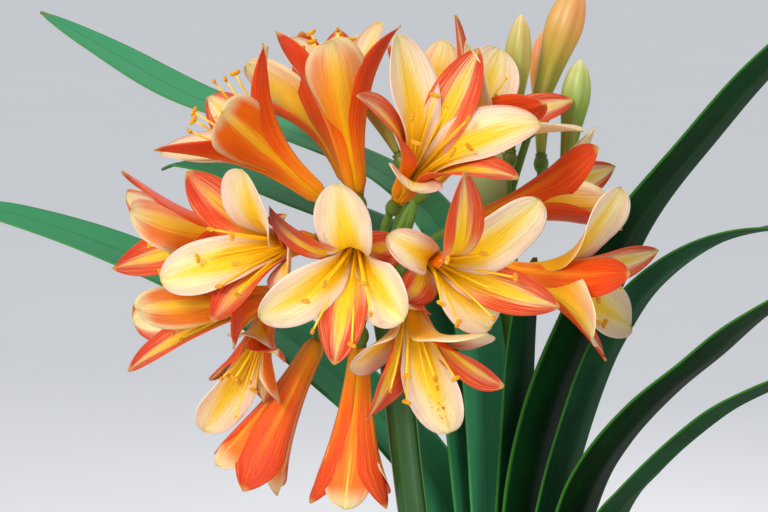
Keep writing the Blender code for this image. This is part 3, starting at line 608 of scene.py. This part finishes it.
def filament_material():
    g = Graph("filament", 0.4, Subsurface_Weight=0.1, Subsurface_Scale=0.002)
    grain = g.noise(900.0)
    colour = g.ramp(g.value("along"), (0.0, (250, 196, 6)), (0.4, (255, 196, 6)), (1.0, (255, 208, 34)))
    g.bump(grain, 0.0001, 0.4)
    return g.done(g.coats(colour, (g.step(0.5, 0.8, grain) * 0.25, (250, 160, 0))))


def anther_material():
    """Grainy golden pollen with a darker seam."""
    g = Graph("anther", 0.8)
    grain = g.noise(2600.0, 3.0)
    colour = g.ramp(grain, (0.3, (176, 104, 0)), (0.5, (228, 154, 4)), (0.72, (255, 200, 30)))
    seam = g.step(0.25, 0.0, abs(g.value("around")))
    g.bump(grain, 0.0003, 0.8)
    return g.done(g.coats(colour, (seam * 0.5, (116, 62, 14))))


def stem_material():
    """Green stalks: value ripe goes from the scape's deep green to the ovary's yellow green, with a painted
    highlight along the scape's edges.
    """
    g = Graph("stem", 0.42, Specular_IOR_Level=0.45)
    streak = g.streaks(14.0, 2.0, detail=3.0)
    mottle = g.noise(120.0, 3.0)
    colour = g.ramp(g.value("ripe"), (0.0, (10, 46, 14)), (0.35, (56, 116, 26)), (0.7, (98, 136, 34)),
                    (1.0, (84, 104, 24)))
    # The pale line along the flat scape's two edges is a painted highlight; the round stalks go without it.
    painted_edge_light = g.step(0.90, 1.0, abs(g.value("around"))) * g.value("edged")
    colour = g.coats(colour, (g.step(0.45, 0.75, streak) * 0.25, (70, 126, 40)),
                     (g.step(0.5, 0.8, mottle) * 0.3, (22, 58, 16)), (painted_edge_light * 0.8, (168, 188, 120)))
    g.bump(streak, 0.0003, 0.5)
    return g.done(colour, mottle * 0.2 + 0.34)


def leaf_material():
    """Thick dark strap with fine parallel veins; its paler margins are a painted highlight, and a lighter,
    bluer green set by each leaf's sheen value is painted sheen.
    """
    g = Graph("leaf", 0.45, Specular_IOR_Level=0.035)
    along, tone, seed = g.value("along"), g.value("tone"), g.value("seed")
    edge = abs(g.value("across"))
    veins = g.streaks(26.0, 1.2, seed)
    hair = g.streaks(90.0, 4.0, seed, 1.0)
    mottle = g.noise(38.0, 4.0, 0.6)
    patches = g.step(0.35, 0.7, mottle)
    # The dark green stands for the leaf in shade and the light one is painted sheen; each leaf's sheen value
    # mixes them, on the underside too.
    dark = g.mix(patches, rgb(4, 36, 6), rgb(8, 52, 12))
    light = g.mix(patches, rgb(46, 136, 90), rgb(80, 168, 124))
    under = g.mix(tone, rgb(12, 58, 14), rgb(62, 148, 100))
    colour = g.mix(g.value("inside"), under, g.mix(tone, dark, light))
    # The margin coat is a painted highlight: pale green painted along the leaf's edges, where light catches
    # them.
    keel, margin = g.step(0.10, 0.0, edge) * 0.35, g.step(0.9, 1.0, edge) * 0.55
    foot, old_tip = g.step(0.16, 0.02, along) * 0.75, g.step(0.985, 1.0, along) * 0.6
    colour = g.coats(colour, (g.step(0.48, 0.72, veins) * 0.2, (40, 100, 34)), (keel, (40, 92, 36)),
                     (margin, (70, 132, 48)), (foot, (196, 206, 150)), (old_tip, (150, 118, 62)))
    g.bump(veins + hair * 0.35, 0.0004, 0.5)
    return g.done(colour, mottle * 0.24 + 0.50)


def bud_material():
    """Closed petals: green foot, orange body and a pale or green tip."""
    g = Graph("bud", 0.4, Subsurface_Weight=0.1, Subsurface_Scale=0.003)
    along, green = g.value("along"), g.value("green")
    streak = g.streaks(9.0, 2.0, green, 3.0)
    ripe = g.ramp(along, (0.0, (120, 146, 44)), (0.25, (190, 168, 60)), (0.55, (238, 150, 70)),
                  (0.85, (240, 132, 74)), (1.0, (246, 176, 120)))
    young = g.ramp(along, (0.0, (84, 130, 40)), (0.5, (122, 158, 62)), (0.85, (178, 188, 104)),
                   (1.0, (222, 214, 160)))
    colour = g.mix(green, ripe, young)
    flush = g.step(-0.2, 0.8, g.axis(g.point("Normal"), "X")) * g.step(0.3, 0.75, along) * (1.0 - green)
    colour = g.coats(colour, (flush * 0.7, (240, 128, 84)),
                     (g.step(0.45, 0.75, streak) * 0.35, (244, 180, 110)),
                     (g.value("rib") * 0.3, (150, 110, 34)))
    g.bump(streak, 0.0003, 0.5)
    return g.done(colour)


def bract_material():
    """Papery, green at the foot and brown at the tip."""
    g = Graph("bract", 0.6)
    streak = g.streaks(16.0, 1.5, detail=3.0)
    colour = g.ramp(g.value("along"), (0.0, (110, 134, 66)), (0.45, (178, 190, 130)), (0.8, (206, 200, 160)),
                    (1.0, (120, 74, 40)))
    g.bump(streak, 0.0003, 0.6)
    return g.done(g.coats(colour, (g.step(0.5, 0.75, streak) * 0.4, (140, 120, 70))))


def pot_material():
    """Moulded matte plastic the colour of fired clay, dusty at the foot, with fine scuffs."""
    g = Graph("pot", 0.55, Specular_IOR_Level=0.4)
    grain = g.noise(1400.0)
    cloud = g.noise(22.0, 4.0, 0.6)
    rings = g.noise(1.0, at=g.stretch(6.0, 6.0, 900.0))
    scuff = g.noise(1.0, 5.0, 0.7, at=g.stretch(160.0, 160.0, 30.0))
    colour = g.mix(g.step(0.3, 0.7, cloud), rgb(146, 78, 52), rgb(160, 90, 60))
    dust = g.step(0.035, 0.0, g.axis(g.point(), "Z") - cloud * 0.02)
    colour = g.coats(colour, (g.step(0.5, 0.8, rings) * 0.12, (120, 60, 40)),
                     (g.step(0.62, 0.75, scuff) * 0.35, (196, 142, 112)), (dust * 0.5, (184, 160, 132)))
    g.bump(grain + rings * 0.6, 0.0003, 0.35)
    return g.done(colour, cloud * 0.2 + 0.45)


def soil_material():
    g = Graph("soil", 0.95, Specular_IOR_Level=0.2)
    clod = g.noise(260.0, 5.0, 0.7)
    damp = g.noise(24.0, 3.0)
    colour = g.ramp(clod, (0.3, (26, 18, 13)), (0.5, (58, 42, 30)), (0.7, (96, 72, 50)))
    g.bump(clod, 0.002, 0.9)
    return g.done(g.coats(colour, (g.step(0.45, 0.7, damp) * 0.5, (30, 22, 17))))


def chip_material():
    """Bark from dark to light by each chip's seed; the highest seed is a pale grain."""
    g = Graph("bark", 0.88, Specular_IOR_Level=0.25)
    fibre = g.noise(1.0, 3.0, at=g.stretch(500.0, 1400.0, 900.0))
    colour = g.ramp(g.value("seed"), (0.0, (52, 33, 22)), (0.5, (98, 62, 38)), (0.9, (136, 92, 58)),
                    (1.0, (214, 206, 190)))
    g.bump(fibre, 0.0006, 0.8)
    return g.done(g.coats(colour, (g.step(0.4, 0.7, fibre) * 0.45, (40, 26, 18))))


# Blooms
def width_at(kind, s):
    """Half width of a petal at the share s of its length."""
    rise = np.sin(0.5 * np.pi * np.minimum(1.0, s / kind["widest"])) ** 1.35
    x = np.clip((s - kind["widest"]) / (1 - kind["widest"]), 0.0, 1.0)
    wide = kind["base"] + (1 - kind["base"]) * rise
    return kind["half_width"] * wide * np.maximum(0.0, 1 - x * x) ** kind["point"]


def petal_line(kind, b, d, length, curl):
    """The rows' shares of the length, and there the distance from the axis, the height and the angle."""
    step = kind["length"] * b.get("size", 1.0) * length / LINE_STEPS
    s = np.arange(LINE_STEPS + 1) / LINE_STEPS
    angle = THROAT_ANGLE + (b["open"] + d - THROAT_ANGLE) * smooth(0.08, 0.72, s)
    angle += (b["recurve"] + curl) * np.maximum(0.0, (s - 0.55) / 0.45) ** 2
    angle = np.radians(angle)
    r = TUBE_R + np.concatenate([[0], np.cumsum(np.sin(angle[:-1]))]) * step
    r = r * (TUBE_FOOT + (1 - TUBE_FOOT) * smooth(0.0, 0.075, s))
    z = np.concatenate([[0], np.cumsum(np.cos(angle[:-1]))]) * step
    rows = 1 - (1 - np.linspace(0.0, 1.0, PETAL_ROWS)) ** 1.25
    return [rows[:, None]] + [np.interp(rows, s, line)[:, None] for line in (r, z, angle)]


def petal_relief(kind, b, rnd, s, q):
    """Ruffled margins, a groove down the middle, and inner petals that lie inside the outer ones."""
    size = b.get("size", 1.0)
    wave = rnd.uniform(0, 6.28)
    ruffle = np.sin(s * (9.0 + 3.0 * rnd.random()) + wave + q * 1.4) * q * q * smooth(0.3, 0.7, s)
    groove = np.exp(-(q / 0.13) ** 2) * smooth(0.05, 0.3, s) * (1 - 0.6 * s)
    closed = 1 - smooth(14.0, 34.0, b["open"])
    layer = kind["layer"] * np.maximum(1 - smooth(0.45, 0.75, s), closed)
    return (ruffle * kind["ruffle"] - groove * GROOVE) * size + layer


def petal_grid(kind, b, rnd, d=0.0, bend=0.0, twist=0.0, length=1.0, curl=0.0, width=1.0):
    """The petal's middle sheet in its own frame: out from the bloom's axis, round it, along it."""
    size = b.get("size", 1.0)
    s, r, z, angle = petal_line(kind, b, d, length, curl)
    q = np.linspace(-1, 1, PETAL_COLS)[None, :]
    if b["open"] < TRUMPET and kind is OUTER:
        width *= TRUMPET_WIDER
    w = np.maximum(np.minimum(width_at(kind, s) * size * width, r * kind["hold"]), 0.0003)
    side = 0.6 * kind["length"] * size * length * math.sin(math.radians(bend)) * s * s
    turn = math.radians(twist) * smooth(0.2, 1.0, s)[..., None]
    zero = np.zeros_like(angle)
    flat = np.stack([zero, zero + 1, zero], axis=-1)
    face = np.stack([-np.cos(angle), zero, np.sin(angle)], axis=-1)
    across = flat * np.cos(turn) + face * np.sin(turn)
    normal = face * np.cos(turn) - flat * np.sin(turn)
    late = 0.25 * (1 - smooth(44.0, 58.0, b["open"]))
    free = smooth(0.3 + late, 0.62 + late, s) * smooth(12.0, 30.0, b["open"])
    cup = (PETAL_CUP + late) * (1 - 0.5 * s)
    arc = np.maximum(0.02, np.minimum(w / r, 1.25) * (1 - free) + cup * free)
    lift = w / arc * (1 - np.cos(q * arc)) + petal_relief(kind, b, rnd, s, q)
    grid = np.stack([r, side, z], axis=-1) + across * (w / arc * np.sin(q * arc))[..., None]
    grid = grid + normal * lift[..., None]
    return grid, s, q


def frame_of(b):
    """Axis of a bloom and two directions across it; lean is toward the viewer."""
    heading, lean = math.radians(b["heading"]), math.radians(b["lean"])
    h = np.array([math.cos(heading), 0.0, math.sin(heading)])
    f = np.array([0.0, -1.0, 0.0])
    axis = math.cos(lean) * h + math.sin(lean) * f
    e1 = -math.sin(lean) * h + math.cos(lean) * f
    return axis, e1, np.cross(axis, e1)


def head_point(values):
    """World point of a place in mm right, front and up from the head's centre."""
    x, front, z = values
    return UMBEL + np.array([x, -front, z]) * MM


def place(points, b, azimuth=0.0):
    """Moves points from a bloom's own frame, turned by the azimuth, to the world."""
    axis, e1, e2 = frame_of(b)
    az = math.radians(azimuth)
    rad = e1 * math.cos(az) + e2 * math.sin(az)
    tan = -e1 * math.sin(az) + e2 * math.cos(az)
    points = np.asarray(points, float)
    return head_point(b["base"]) + points[..., :1] * rad + points[..., 1:2] * tan + points[..., 2:3] * axis


def petal_values(b, name):
    """Small seeded differences of each petal, with the listed ones on top, as in the CAD."""
    rnd = random.Random(SEEDS[name])
    out = []
    for k in range(6):
        v = dict(d=rnd.uniform(-4, 4), bend=rnd.uniform(-3, 3), twist=rnd.uniform(-8, 8),
                 length=rnd.uniform(0.96, 1.03), curl=rnd.uniform(-8, 8))
        for key, val in b.get("t", {}).get(k, {}).items():
            v[key] = val if key in ("length", "width") else v.get(key, 0) * 0.3 + val
        az = b["roll"] + 60 * k + v.pop("az", 0)
        out.append((OUTER if k % 2 == 0 else INNER, az, v))
    return out


def petals(name, b, mat):
    shape = Shape()
    rnd = random.Random(SEEDS[name] + PETAL_DRAWS)
    for k, (kind, az, v) in enumerate(petal_values(b, name)):
        grid, s, q = petal_grid(kind, b, rnd, **v)
        thick = PETAL_THICK + (EDGE_THICK - PETAL_THICK) * np.abs(q) ** 2.5
        thick = thick * (1 - 0.5 * smooth(0.85, 1.0, s))
        blush = BLUSH.get(name, {}).get(k, kind["blush"] + rnd.uniform(-0.1, 0.12))
        add_sheet(shape, place(grid, b, az), thick, along=s, across=q, sort=float(kind is INNER),
                  blush=blush, seed=rnd.random(), withered=WITHERED.get((name, k), 0.0),
                  speckled=float((name, k) == SPECKLED))
    piece = shape.build("petals_" + name, [mat])
    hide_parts("bloom_" + name)
    return piece


def stamen_path(b, k, n, stretch):
    """Filament from the throat in the bloom's own frame, as in the CAD."""
    az = math.radians(b["roll"] + 30 + 60 * k)
    spread = (0.35 + 0.12 * ((k * 7) % 5) / 4) * b["open"] / 60
    long = FILAMENT * b.get("size", 1.0) * (0.92 + 0.04 * (k % 3)) * stretch
    s = np.linspace(0, 1, n)
    r = 0.0011 + long * math.sin(spread) * s ** 1.5
    height = 0.004 * b.get("size", 1.0) + long * math.cos(spread) * s
    return np.stack([r * math.cos(az), r * math.sin(az), height], axis=1)


def add_anther(shape, path, wide, lean, size):
    """Bean of pollen set across the end of a filament; lean tips it along."""
    along = unit(path[-1] - path[-3])
    cross = unit(unit(np.cross(along, wide)) + along * lean)
    t = np.linspace(-1, 1, 9)
    bean = path[-1] + np.outer(t * ANTHER_HALF * size, cross) + np.outer(0.0003 + 0.0004 * t * t, along)
    fat = ANTHER_R * np.sqrt(np.maximum(0.04, 1 - t ** 4))
    add_rod(shape, bean, fat, 10, kind=1, flat=0.8)


def add_style(shape, b):
    """Thin style, longer than the stamens, with the three small lobes of its stigma."""
    size = b.get("size", 1.0)
    line = bezier(np.array([0, 0, 0.004 * size]), np.array([0.001, 0.001, 0.02]),
                  np.array([0.002, 0.001, 0.036]), np.array([0.003, 0.002, STYLE * size]), 16)
    style = place(line, b, 180)
    add_rod(shape, style, np.linspace(0.00055, 0.0004, 16), 8)
    tip, ahead = style[-1], unit(style[-1] - style[-3])
    e1 = frame_of(b)[1]
    for k in range(3):
        side = unit(np.cross(ahead, e1) * math.cos(2.1 * k) + e1 * math.sin(2.1 * k))
        lobe = [tip - ahead * 0.0004, tip + ahead * 0.0006 + side * 0.0005,
                tip + ahead * 0.0010 + side * 0.0011]
        add_rod(shape, lobe, [0.0003, 0.0003, 0.0002], 6)


def stamens(name, b, filament, anther):
    shape = Shape()
    rnd = random.Random(SEEDS[name] + STAMEN_DRAWS)
    stretch, (x, front, z) = STAMENS.get(name, USUAL_STAMENS)
    hang = np.outer(np.linspace(0, 1, STAMEN_ROWS) ** 2, np.array([x, -front, z]) * MM)
    for k in range(6):
        path = place(stamen_path(b, k, STAMEN_ROWS, stretch), b) + hang
        add_rod(shape, path, np.linspace(0.00072, 0.00042, STAMEN_ROWS), 8)
        add_anther(shape, path, frame_of(b)[1 + k % 2], rnd.uniform(-0.5, 0.5), b.get("size", 1.0))
    add_style(shape, b)
    return shape.build("stamens_" + name, [filament, anther])


# Stems, buds and the bract
def foot_of(b):
    """Where a stalk meets the bloom, and the direction the bloom looks."""
    axis = frame_of(b)[0]
    return head_point(b["base"]) - axis * OVARY_GAP, axis


def bud_foot(b):
    """Where a stalk meets the bud, and the direction the bud looks."""
    foot = head_point(b["foot"])
    axis = unit(head_point(b["tip"]) - foot)
    return foot - axis * OVARY_GAP, axis


def add_pedicel(shape, top, foot, axis):
    """Round stalk from the top of a scape, swelling into the ovary under its bloom."""
    ovary_foot = foot - axis * OVARY
    reach = np.linalg.norm(ovary_foot - top)
    out = unit((ovary_foot - top) + np.array([0, 0, 0.004]))
    stalk = bezier(top, top + out * reach * 0.4, ovary_foot - axis * reach * 0.35, ovary_foot, 18)
    egg = ovary_foot + np.outer(np.linspace(0.0008, 0.0081, 12), axis)
    swell = 0.0017 + 0.0015 * np.sin(np.pi * np.minimum(np.linspace(0.1, 1, 12) * 1.05, 1.0)) ** 0.8
    swell[-2:] = (0.0026, 0.0024)
    radii = np.concatenate([np.linspace(0.0020, 0.0016, 18), swell])
    ripe = np.concatenate([np.linspace(0.45, 0.72, 18), np.linspace(0.78, 1.0, 12)])
    add_rod(shape, np.vstack([stalk, egg]), radii, 14, lobes=3, lobe=0.05, ripe=ripe, edged=0.0)


def add_bract(shape):
    """Papery leaf that stands behind the young head."""
    s = np.linspace(0, 1, 24)[:, None]
    q = np.linspace(-1, 1, 11)[None, :]
    w = 0.0075 * np.sin(np.pi * np.minimum(1.0, 0.25 + 0.75 * s)) ** 0.8 + 0.0004
    mid = SECOND_TOP + np.stack([-0.0055 - 0.006 * s, -0.0035 + 0 * s, -0.005 + 0.046 * s], axis=-1)
    curl = 0.0022 * q * q + 0.0006 * np.sin(7 * s + 2 * q) * q * q
    grid = mid + np.stack([q * w, curl, 0 * q * s], axis=-1)
    add_sheet(shape, grid, 0.0006, kind=1, along=s, across=q)


def scape(name, mats):
    """Flattened stem, its stalks and ovaries, and on the second one the bract."""
    spec = SCAPES[name]
    shape = Shape()
    line = spline([np.array(p) * MM for p in spec["path"]] + [spec["top"]], SCAPE_ROWS)
    widths = np.array(spec["widths"]) * MM
    radii = np.interp(np.linspace(0, 1, SCAPE_ROWS), np.linspace(0, 1, len(widths)), widths)
    # The scape gets the stem material's painted edge highlight.
    add_rod(shape, line, radii, 28, flat=spec["flat"], wide=[1.0, 0.0, 0.0],
            ripe=np.linspace(*spec["ripe"], SCAPE_ROWS), edged=1.0)
    ends = [foot_of(b) for b in BLOOMS.values()] if name == "main" else []
    ends += [bud_foot(b) for b in BUDS.values() if b["head"] == name]
    for foot, axis in ends:
        add_pedicel(shape, spec["top"] - np.array([0, 0, spec["sunk"]]), foot, axis)
    if name == "second":
        add_bract(shape)
    piece = shape.build("stem_" + name, mats)
    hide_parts("scape_" + name)
    return piece


def bud(name, b, mat):
    """Six closed petals, seen as ribs with darker seams between them."""
    foot, tip = head_point(b["foot"]), head_point(b["tip"])
    rows, sides, lobe = 34, 36, 0.055
    s = 1 - (1 - np.linspace(0, 1, rows)) ** 1.3
    outline = spline([(share * 4, size, 0.0) for share, size in BUD_SHAPE], 160)
    r = b["radius"] * MM * np.interp(s, outline[:, 0] / 4, outline[:, 1])
    seam = np.tile((0.5 - 0.5 * np.cos(6 * round_angles(sides, 0.5))) ** 6, rows)
    shape = Shape()
    add_rod(shape, foot + np.outer(s, tip - foot), r / (1 + lobe), sides, lobes=6, lobe=lobe,
            green=b["green"], rib=seam)
    piece = shape.build("closed_" + name, [mat])
    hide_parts("bud_" + name)
    return piece


# Leaves
def fan_point(points):
    """Turns the fan of leaves to its heading in the pot."""
    u, v, z = points[..., 0], points[..., 1], points[..., 2]
    c, n = math.cos(FAN_TURN), math.sin(FAN_TURN)
    return np.stack([FAN_X + u * c - v * n, u * n + v * c, z], axis=-1)


def leaf_grid(spec, rnd, s, q):
    """Middle sheet of a leaf: wrapped round the fan as a sheath, then opening into a folded blade."""
    side = spec["side"]
    ex, ey = spec["sheath"][0] * MM, spec["sheath"][1] * MM
    foot = [(side * spec["sheath"][0], 0, z) for z in LEAF_FOOT]
    line = spline([np.array(p) * MM for p in foot + list(spec["line"])], LEAF_ROWS)
    t = unit(np.gradient(line, axis=0))
    w = unit(np.array([0.0, 1.0, 0.0]) - t * t[:, 1:2])
    n = np.cross(w, t) * side
    end = np.maximum(0.0, (s - 0.78) / 0.22)
    wide = spec["half"] * MM * (0.62 + 0.38 * smooth(0.1, 0.55, s))
    wide = np.maximum(wide * np.maximum(0.0, 1 - end ** 2.2) ** 0.6, 0.0008)
    fold = LEAF_FOLD * (1 - 0.6 * s) * (np.sqrt(q * q + 0.012) - math.sqrt(0.012))
    wave = 0.0008 * np.sin(s * 14 + rnd.uniform(0, 6) + q) * np.abs(q) * smooth(0.3, 0.6, s)
    line = line[:, None, :]
    blade = line + w[:, None, :] * (wide * q)[..., None] - n[:, None, :] * (wide * fold + wave)[..., None]
    a = SHEATH_TURN * q + 0 * s
    wrap = line + np.stack([side * ex * (np.cos(a) - 1), ey * np.sin(a), 0 * a], axis=-1)
    opened = smooth(*SHEATH_END, line[..., 2:])
    return fan_point(wrap * (1 - opened) + blade * opened)


def leaf(name, spec, mat):
    rnd = random.Random(name)
    s = np.linspace(0, 1, LEAF_ROWS)[:, None]
    q = np.linspace(-1, 1, LEAF_COLS)[None, :]
    grid = leaf_grid(spec, rnd, s, q)
    if spec["side"] > 0:
        grid = grid[:, ::-1]
    thick = LEAF_THICK + (LEAF_EDGE - LEAF_THICK) * np.abs(q)
    shape = Shape()
    add_sheet(shape, grid, thick, along=s, across=q, tone=spec["tone"], seed=rnd.random() * 9)
    piece = shape.build("blade_" + name, [mat])
    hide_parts("leaf_" + name)
    return piece


# Pot and potting mix
def wall_r(z):
    return POT_BASE_R + (POT_TOP_R - RIM_OUT - POT_BASE_R) * z / POT_HEIGHT


def pot_profile():
    """From the foot up the wall, over the rim band and down the inside to the floor."""
    rim_z = POT_HEIGHT - RIM_BAND
    band = wall_r(rim_z) + RIM_OUT
    inner = POT_TOP_R - RIM_OUT - POT_WALL
    points = [(POT_BASE_R - ROUND, 0.0), (POT_BASE_R - BEVEL, BEVEL), (POT_BASE_R, ROUND)]
    points += [(wall_r(z), z) for z in np.linspace(0.012, rim_z - ROUND, 12)]
    points += [(wall_r(rim_z) + BEVEL, rim_z), (band - BEVEL, rim_z + 0.0022), (band, rim_z + 0.0036),
               (POT_TOP_R, POT_HEIGHT - ROUND), (POT_TOP_R - BEVEL, POT_HEIGHT - BEVEL),
               (POT_TOP_R - ROUND, POT_HEIGHT), (inner + ROUND, POT_HEIGHT),
               (inner + 0.0004, POT_HEIGHT - BEVEL), (inner, POT_HEIGHT - ROUND)]
    points += [(wall_r(z) - POT_WALL, z) for z in np.linspace(0.16, POT_FLOOR + 0.001, 5)]
    return points


def circle(r, z, sides):
    turn = round_angles(sides)
    return np.stack([r * np.cos(turn), r * np.sin(turn), np.full(sides, z)], axis=1)


def drain_cutter(mat):
    """Four upright rods, moved down once built so that they reach past the pot's base."""
    drill = Shape()
    for k in range(4):
        a = math.radians(45 + 90 * k)
        centre = np.array([DRAIN_RING * math.cos(a), DRAIN_RING * math.sin(a), 0.0])
        add_rod(drill, [centre, centre + [0, 0, 0.03]], [DRAIN_R] * 2, 32)
    cutter = drill.build("cutter", [mat])
    cutter.data.transform(Matrix.Translation((0, 0, -0.01)))
    return cutter


def pot(mat):
    """Turned body with the drain holes cut through its floor."""
    shape = Shape()
    profile = pot_profile()
    shape.add(np.vstack([circle(r, z, POT_SIDES) for r, z in profile]), tube_faces(len(profile), POT_SIDES))
    body = shape.build("plant_pot", [mat])
    cutter = drain_cutter(mat)
    mod = body.modifiers.new("holes", "BOOLEAN")
    mod.operation = "DIFFERENCE"
    mod.object = cutter
    mod.solver = "EXACT"
    graph = bpy.context.evaluated_depsgraph_get()
    mesh = bpy.data.meshes.new_from_object(body.evaluated_get(graph))
    body.modifiers.clear()
    body.data = mesh
    bpy.data.objects.remove(cutter, do_unlink=True)
    body.data.shade_smooth()
    body.data.set_sharp_from_angle(angle=math.radians(40))
    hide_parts("pot")
    return body


def soil_height(x, y, waves):
    z = SOIL_TOP + 0.001
    for a, b, c in waves:
        z = z + SOIL_WAVE * np.sin(x * a + y * b + c)
    return z


def soil(earth, bark):
    """The filled pot: a crumbly top that closes round the plant's foot, with bark chips on it."""
    rnd = random.Random(SOIL_SEED)
    waves = [(rnd.uniform(-160, 160), rnd.uniform(-160, 160), rnd.uniform(0, 6)) for _ in range(8)]
    inner = wall_r(SOIL_TOP - 0.004) - POT_WALL - SOIL_CLEAR
    low = wall_r(POT_FLOOR) - POT_WALL - SOIL_CLEAR
    points = [circle(low, POT_FLOOR + 0.0004, POT_SIDES)]
    for i in range(SOIL_RINGS):
        ring = circle(inner * (1 - i / SOIL_RINGS), 0.0, POT_SIDES)
        grit = np.array([rnd.uniform(-0.0009, 0.0009) for _ in range(POT_SIDES)])
        ring[:, 2] = soil_height(ring[:, 0], ring[:, 1], waves) + (grit if i else 0)
        points.append(ring)
    shape = Shape()
    shape.add(np.vstack(points), tube_faces(SOIL_RINGS + 1, POT_SIDES), 0, seed=0.0)
    for _ in range(CHIPS):
        a, r = rnd.uniform(0, 2 * math.pi), (inner - 0.005) * math.sqrt(rnd.random())
        x, y = r * math.cos(a), r * math.sin(a)
        size = rnd.uniform(0.0014, 0.0050) * (0.8 + 0.5 * rnd.random())
        add_chip(shape, rnd, np.array([x, y, soil_height(x, y, waves) + size * 0.10]), size)
    piece = shape.build("soil", [earth, bark])
    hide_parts("potting_mix")
    return piece


def add_chip(shape, rnd, centre, size):
    """One irregular flake of bark, or now and then a light grain."""
    light = rnd.random() < 0.07
    box = np.array([[x, y, z] for x in (-1, 1) for y in (-1, 1) for z in (-1, 1)], float)
    box *= np.array([1.0, 1.0, 1.0] if light else [1.0, rnd.uniform(0.45, 0.8), rnd.uniform(0.2, 0.4)])
    box *= 0.5 if light else 1.0
    box += np.array([[rnd.uniform(-0.25, 0.25) for _ in range(3)] for _ in range(8)])
    a, b, c = rnd.uniform(0, 6.28), rnd.uniform(-0.5, 0.5), rnd.uniform(-0.5, 0.5)
    turned = np.array(Matrix.Rotation(a, 3, "Z") @ Matrix.Rotation(b, 3, "X") @ Matrix.Rotation(c, 3, "Y"))
    faces = [(0, 1, 3, 2), (4, 6, 7, 5), (0, 4, 5, 1), (2, 3, 7, 6), (0, 2, 6, 4), (1, 5, 7, 3)]
    shape.add(centre + (box * size) @ turned.T, faces, 1, seed=1.0 if light else rnd.uniform(0.0, 0.85))


# Stage
def stage():
    """Wide pale floor under the pot."""
    g = Graph("floor", 0.9)
    grain = g.noise(3.0, 4.0)
    g.bump(grain, 0.002, 0.1)
    mat = g.done(g.mix(grain, rgb(238, 238, 240), rgb(243, 243, 245)))
    mesh = bpy.data.meshes.new("floor")
    mesh.from_pydata(circle(FLOOR_R, 0.0, 64).tolist(), [], [tuple(range(64))])
    mesh.materials.append(mat)
    link(bpy.data.objects.new("floor", mesh))


def area_light(name, spot, power, size, colour):
    lamp = bpy.data.lights.new(name, "AREA")
    lamp.shape = "DISK"
    lamp.size = size
    lamp.energy = power
    lamp.color = colour
    obj = link(bpy.data.objects.new(name, lamp))
    obj.location = spot
    obj.rotation_euler = (Vector(LIT_POINT) - obj.location).to_track_quat("-Z", "Y").to_euler()


def lights():
    """Soft studio light, shown without a film look so that colours stay as they are."""
    bpy.context.scene.view_settings.view_transform = "Standard"
    world = bpy.data.worlds.new("studio")
    bpy.context.scene.world = world
    world.use_nodes = True
    back = world.node_tree.nodes["Background"]
    back.inputs["Color"].default_value = SKY
    back.inputs["Strength"].default_value = SKY_STRENGTH
    for name, values in LIGHTS.items():
        area_light(name, *values)


def camera():
    """Looks along +Y and a little down; the head's centre shows where it does in the picture."""
    ahead = np.array([0.0, math.cos(CAM_DOWN), -math.sin(CAM_DOWN)])
    right = np.array([1.0, 0.0, 0.0])
    up = np.cross(right, ahead)
    target = (UMBEL + right * (PICTURE[0] / 2 - HEAD_AT[0]) * PIXEL
              + up * (HEAD_AT[1] - PICTURE[1] / 2) * PIXEL)
    lens = bpy.data.cameras.new("camera")
    lens.sensor_width = SENSOR
    lens.lens = SENSOR * CAM_DIST / (PICTURE[0] * PIXEL)
    lens.clip_start = 0.05
    lens.clip_end = 100.0
    cam = link(bpy.data.objects.new("camera", lens))
    cam.location = tuple(target - ahead * CAM_DIST)
    cam.rotation_euler = (math.pi / 2 - CAM_DOWN, 0.0, 0.0)
    bpy.context.scene.camera = cam


def keep(piece):
    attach(piece, "root")


def main():
    camera()
    petal, filament, anther = petal_material(), filament_material(), anther_material()
    stem, blade, closed, papery = stem_material(), leaf_material(), bud_material(), bract_material()
    for name, b in BLOOMS.items():
        keep(petals(name, b, petal))
        keep(stamens(name, b, filament, anther))
    for name, b in BUDS.items():
        keep(bud(name, b, closed))
    for name, spec in LEAVES.items():
        keep(leaf(name, spec, blade))
    keep(scape("main", [stem]))
    keep(scape("second", [stem, papery]))
    keep(pot(pot_material()))
    keep(soil(soil_material(), chip_material()))
    stage()
    lights()


main()
